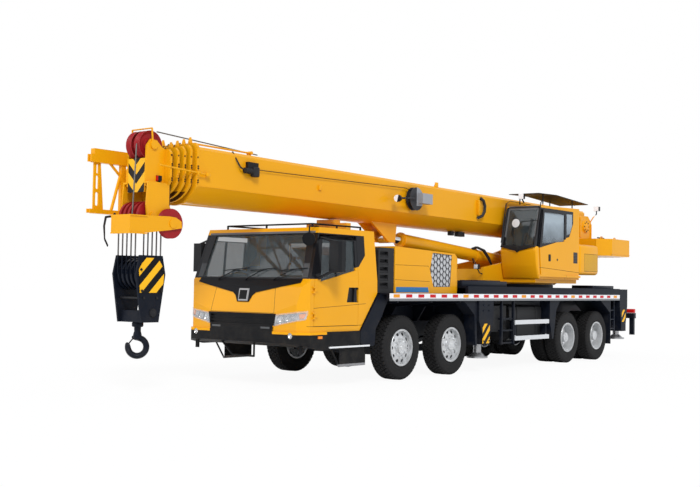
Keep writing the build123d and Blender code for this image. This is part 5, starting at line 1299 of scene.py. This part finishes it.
# %% Head rope, box frame fittings and hook block plates
cable = [tube("top_cable", [at(2.28, 0.12, 3.475), at(4.26, 0.09, 3.585)], 0.009, 8),
         tube("under_cable", [at(2.30, -0.20, 3.43), at(3.70, -0.20, 3.46)], 0.009, 8)]
fit(join("top_cables", cable), "boom", "dark_steel", FINISHES["winch_steel"])
rope = tube("face_rope", [at(4.606, 0.085, 3.38), at(4.652, 0.085, 2.40)], 0.010, 8)
fit(rope, "boom_5", "dark_steel", FINISHES["winch_steel"])
loops = [tube("front_loop", [at(4.86, -0.10, 2.385), at(4.945, -0.10, 2.37), at(4.97, -0.10, 2.25),
                             at(4.965, -0.09, 2.08), at(4.92, -0.08, 1.99)], 0.016, 8),
         tube("head_hose", [at(4.30, 0.215, 2.90), at(4.28, 0.235, 2.78), at(4.31, 0.245, 2.62),
                            at(4.40, 0.24, 2.55)], 0.011, 8)]
loops += [bolt("frame_bolt", at(x, 0, 2.40), (0, 0, 1), 0.03) for x in (4.72, 4.88)]
fit(join("head_hoses", loops), "boom_5", "black_plastic")
cheek = [(4.235, 1.37), (4.63, 1.37), (4.655, 1.68), (4.55, 1.845), (4.33, 1.845), (4.215, 1.68)]
plates = [prism(f"cheek_plate_{hand}", cheek, *span(hand, 0.2505, 0.259)) for hand in (1, -1)]
fit(join("cheek_plates", plates), "hook_block", "block_black", NODE_FINISHES["hook_block"])
nuts = [bolt("cheek_bolt", at(x, hand * 0.259, z), (0, hand, 0), 0.03, 0.016, 0.01)
        for hand in (1, -1) for x, z in ((4.26, 1.395), (4.605, 1.395), (4.245, 1.68), (4.625, 1.68))]
nuts += [turned("cheek_boss", [(0, 0.035), (0.03, 0.035), (0.038, 0.022), (0.055, 0.018), (0.06, 0.0),
                               (0, 0)], at(4.40, hand * 0.25, 1.10), (0, hand, 0), 24) for hand in (1, -1)]
nuts += [tube("cheek_bar", [at(x, -0.262, 1.30), at(x, 0.262, 1.30)], 0.018, 10) for x in (4.33, 4.56)]
fit(join("cheek_bolts", nuts), "hook_block", "block_black")
print("head and block fitted out")

# %% [markdown]
# ## Superstructure and chassis fittings
# Lifting eyes, hoses, bolts, deck boxes and the rear ladder: small things, but they break up the long dark
# sides. Bolts that repeat round the slewing ring are one bolt, spun as copies.

# %% Counterweight, winch frame and slewing ring
SLEWING_X, RING_CIRCLE, FOOT_CIRCLE = -5.75, 0.83, 0.108  # bolt circles of the ring and the foot
eyes = [tube("eye", [at(x - 0.05, y, 2.645), at(x - 0.045, y, 2.69), at(x - 0.02, y, 2.718),
                     at(x + 0.02, y, 2.718), at(x + 0.045, y, 2.69), at(x + 0.05, y, 2.645)], 0.013, 8)
        for x in (-8.22, -8.92) for y in (0.92, -0.92)]
eyes += [box("weight_lip", at(-9.02, hand * 1.25 - 0.008, 2.30), at(-8.02, hand * 1.25 + 0.008, 2.312),
             0.003, steps=1) for hand in (1, -1)]
for hand in (1, -1):
    low, high = span(hand, 0.481, 0.505)
    eyes += [turned("foot_boss", [(0, 0.05), (0.07, 0.05), (0.085, 0.035), (0.13, 0.03), (0.14, 0.0), (0, 0)],
                    at(-8.30, hand * 0.481, 2.95), (0, hand, 0), 28),
             box("frame_lip", at(-8.60, low, 2.34), at(-8.56, high, 3.02), 0.005, steps=1),
             box("frame_rib", at(-8.05, low, 2.70), at(-8.01, high, 3.16), 0.005, steps=1)]
fit(join("weight_eyes", eyes), "superstructure", "yellow_paint")
block = [box("weight_winch", at(-8.98, 0.52, 2.648), at(-8.78, 0.72, 2.70), 0.012),
         tube("weight_bar", [at(-9.05, 0.60, 2.715), at(-8.70, 0.60, 2.715)], 0.014, 8)]
turns = [n * math.pi / 4 for n in range(8)]
block += [bolt("foot_bolt", at(-8.30 + FOOT_CIRCLE * math.cos(a), hand * 0.511,
                               2.95 + FOOT_CIRCLE * math.sin(a)), (0, hand, 0), 0.024, 0.012, 0.006)
          for hand in (1, -1) for a in turns]
ring = bolt("ring_bolt", at(SLEWING_X + RING_CIRCLE, 0, 1.647), (0, 0, 1), 0.034, 0.022, 0.01)
block.append(ring_of("ring_bolts", ring, at(SLEWING_X, 0, 1.62), (0, 0, 1), 36))
block += [box("front_lamp", at(-3.64, 0.41, 1.87), at(-3.56, 0.51, 1.97), 0.012),
          tube("front_lamp_arm", [at(-3.82, 0.46, 1.78), at(-3.70, 0.46, 1.80), at(-3.62, 0.46, 1.88)],
               0.011, 8),
          tube("nose_hose", [at(-3.60, 0.44, 1.96), at(-3.62, 0.36, 2.08), at(-3.78, 0.24, 2.08),
                             at(-3.95, 0.18, 1.98)], 0.010, 8)]
fit(join("superstructure_fittings", block), "superstructure", "black_plastic")
front_lens = box("front_lens", at(-3.566, 0.42, 1.88), at(-3.552, 0.50, 1.96), 0.004)
fit(front_lens, "superstructure", "chrome_rod", WHITE_LENS)
hoses = [tube(f"barrel_hose_{n}", [at(-4.05 - n * 0.06, 0.06, 2.285), at(-4.12 - n * 0.06, 0.12, 2.32),
                                   at(-4.26 - n * 0.05, 0.20, 2.26), at(-4.40 - n * 0.04, 0.24, 2.10),
                                   at(-4.56, 0.23, 1.95), at(-4.80, 0.20, 1.93), at(-5.15, 0.16, 1.97)],
              0.022, 10) for n in range(2)]
barrel_run = Vector((0.9971, 0, 0.0753))  # the way the barrel points at rest
clamps = [turned(f"barrel_clamp_{n}", [(0.122, -0.02), (0.142, -0.02), (0.142, 0.02), (0.122, 0.02)],
                 at(-5.70, 0, 2.05) + barrel_run * reach, barrel_run, 32)
          for n, reach in enumerate((0.62, 1.50, 4.04))]
fit(join("barrel_hoses", hoses), "luff_barrel", "black_plastic")
fit(join("barrel_clamps", clamps), "luff_barrel", "yellow_paint")
print("superstructure fitted out")

# %% Deck boxes, rear ladder, post bolts and hoses under the deck
deck_parts = [box("deck_box_lid", at(-3.40, 0.70, 1.63), at(-2.60, 1.10, 1.65), 0.008)]
for hand in (1, -1):
    for name, start, stop, inner, high in (("front", -3.55, -1.95, 0.66, 1.635),
                                           ("rear", -8.45, -7.35, 0.62, 1.60)):
        y0, y1 = span(hand, inner, inner + 0.50)
        deck_parts.append(box(f"deck_box_{name}", at(start, y0, 1.53), at(stop, y1, high), 0.012))
for side, hand in SIDES:
    y0, y1 = span(hand, 1.27, 1.31)
    deck_parts += [box("stile", at(x - 0.018, y0, 0.60), at(x + 0.018, y1, 1.29), 0.006, steps=1)
                   for x in (-7.86, -8.07)]
    deck_parts += [box("rung", at(-8.06, y0 + 0.005, z - 0.012), at(-7.87, y1 - 0.005, z + 0.012), 0.004,
                       steps=1) for z in (0.66, 0.86, 1.06)]
    posts = [bolt("post_bolt", at(x, hand * 1.379, z), (0, hand, 0), 0.026, 0.014, 0.008)
             for x in (-2.52, -2.33) for z in (0.49, 0.56, 1.10, 1.20)]
    fit(join(f"post_bolts_{side}", posts), f"beam_front_{side}", "dark_steel")
    for x in (-4.74, -4.42, -4.06, -3.74):
        deck_parts.append(bolt("strap_bolt", at(x, hand * 1.18, 0.60), (0, hand, 0), 0.024, 0.014, 0.012))
fit(join("deck_fittings", deck_parts), "carrier", "dark_steel")
for n, (name, slot) in enumerate((("line_red", "sheave_red"), ("line_black", "black_plastic"),
                                  ("line_amber", "yellow_paint"))):
    line = tube(name, [at(-2.66 - n * 0.05, 1.22, 1.27), at(-2.67 - n * 0.05, 1.26, 1.12 - n * 0.03),
                       at(-2.74 - n * 0.03, 1.25, 1.02), at(-2.86, 1.16, 0.96 + n * 0.04)], 0.011, 8)
    fit(line, "carrier", slot)


def pale_mesh():
    """Woven wire behind the honeycomb: pale, with fine dark gaps."""
    f = Finish("pale_mesh", Roughness=0.35)
    x, _, z = f.axes()
    weave = ((x * 150).fract() > 0.25) * ((z * 150).fract() > 0.25)
    f.set(base_color=f.mix(weave, (0.30, 0.31, 0.32), (0.72, 0.73, 0.75)))
    return f.bump(f.noise(90, 2, 0.5), 0.0006, 0.3).material


grille = [(-1.50, 1.515), (-0.985, 1.512), (-0.872, 1.80), (-0.945, 2.09), (-1.552, 2.07)]
screens = [prism(f"screen_{hand}", grille, *span(hand, 1.172, 1.180)) for hand in (1, -1)]
fit(join("hood_mesh", screens), "carrier", "silver_rail", pale_mesh())
print("chassis fitted out")

# %% [markdown]
# ## The forged hook
# A forged hook is round in section and swells at its back. The bow is a ring turned to the hook's own side,
# with its mouth cut out by a block, and drawn thicker at the foot in edit mode. The shank is spun with its
# swivel nut.

# %% Bow, shank and latch
HOOK_PLACE, HOOK_TURN = at(4.44, 0, 0.633), math.radians(50)
HOOK_AXIS = Vector((math.cos(HOOK_TURN), math.sin(HOOK_TURN), 0))
HOOK_SIDE = Vector((-math.sin(HOOK_TURN), math.cos(HOOK_TURN), 0))
HOOK_FRAME = (HOOK_SIDE, Vector((0, 0, 1)), HOOK_AXIS)


def on_hook(side, up):
    """A place in the hook's own plane."""
    return HOOK_PLACE + HOOK_SIDE * side + Vector((0, 0, up))


def thicken(amount):
    """Makes the selected faces thicker across the hook's plane."""
    bpy.ops.transform.resize(value=(1, 1, amount), orient_type="GLOBAL", orient_matrix=HOOK_FRAME,
                             orient_matrix_type="GLOBAL", center_override=HOOK_PLACE)


begin("hook_bow", "torus", major_radius=0.122, minor_radius=0.042, major_segments=48, minor_segments=16,
      location=HOOK_PLACE, rotation=(0, math.pi / 2, HOOK_TURN))
bpy.ops.mesh.select_all(action="SELECT")
thicken(1.2)
choose(lambda centre, normal: centre.z < HOOK_PLACE.z - 0.05)
thicken(1.18)
bow = end(60)
mouth = box("mouth", (-0.058, -0.10, -0.12), (0.058, 0.10, 0.12))
gap = (on_hook(-0.085, 0.075) - HOOK_PLACE).normalized()
mouth.rotation_euler = Vector((0, 0, 1)).rotation_difference(gap).to_euler()
mouth.location = on_hook(-0.105, 0.095)
carve(bow, mouth)
shank = turned("hook_shank", [(0, 0.334), (0.070, 0.334), (0.078, 0.322), (0.078, 0.285), (0.070, 0.272),
                              (0.047, 0.268), (0.045, 0.21), (0.056, 0.175), (0.060, 0.14), (0.045, 0.10),
                              (0, 0.085)], HOOK_PLACE, (0, 0, 1), 28)
latch = tube("hook_latch", [on_hook(-0.03, 0.15), on_hook(-0.10, 0.06), on_hook(-0.125, 0.02)], 0.009, 8)
fit(join("forged_hook", [bow, shank, latch]), "hook", "block_black", NODE_FINISHES["hook_block"], "hook")
print("hook", len(bpy.context.object.data.polygons), "faces")
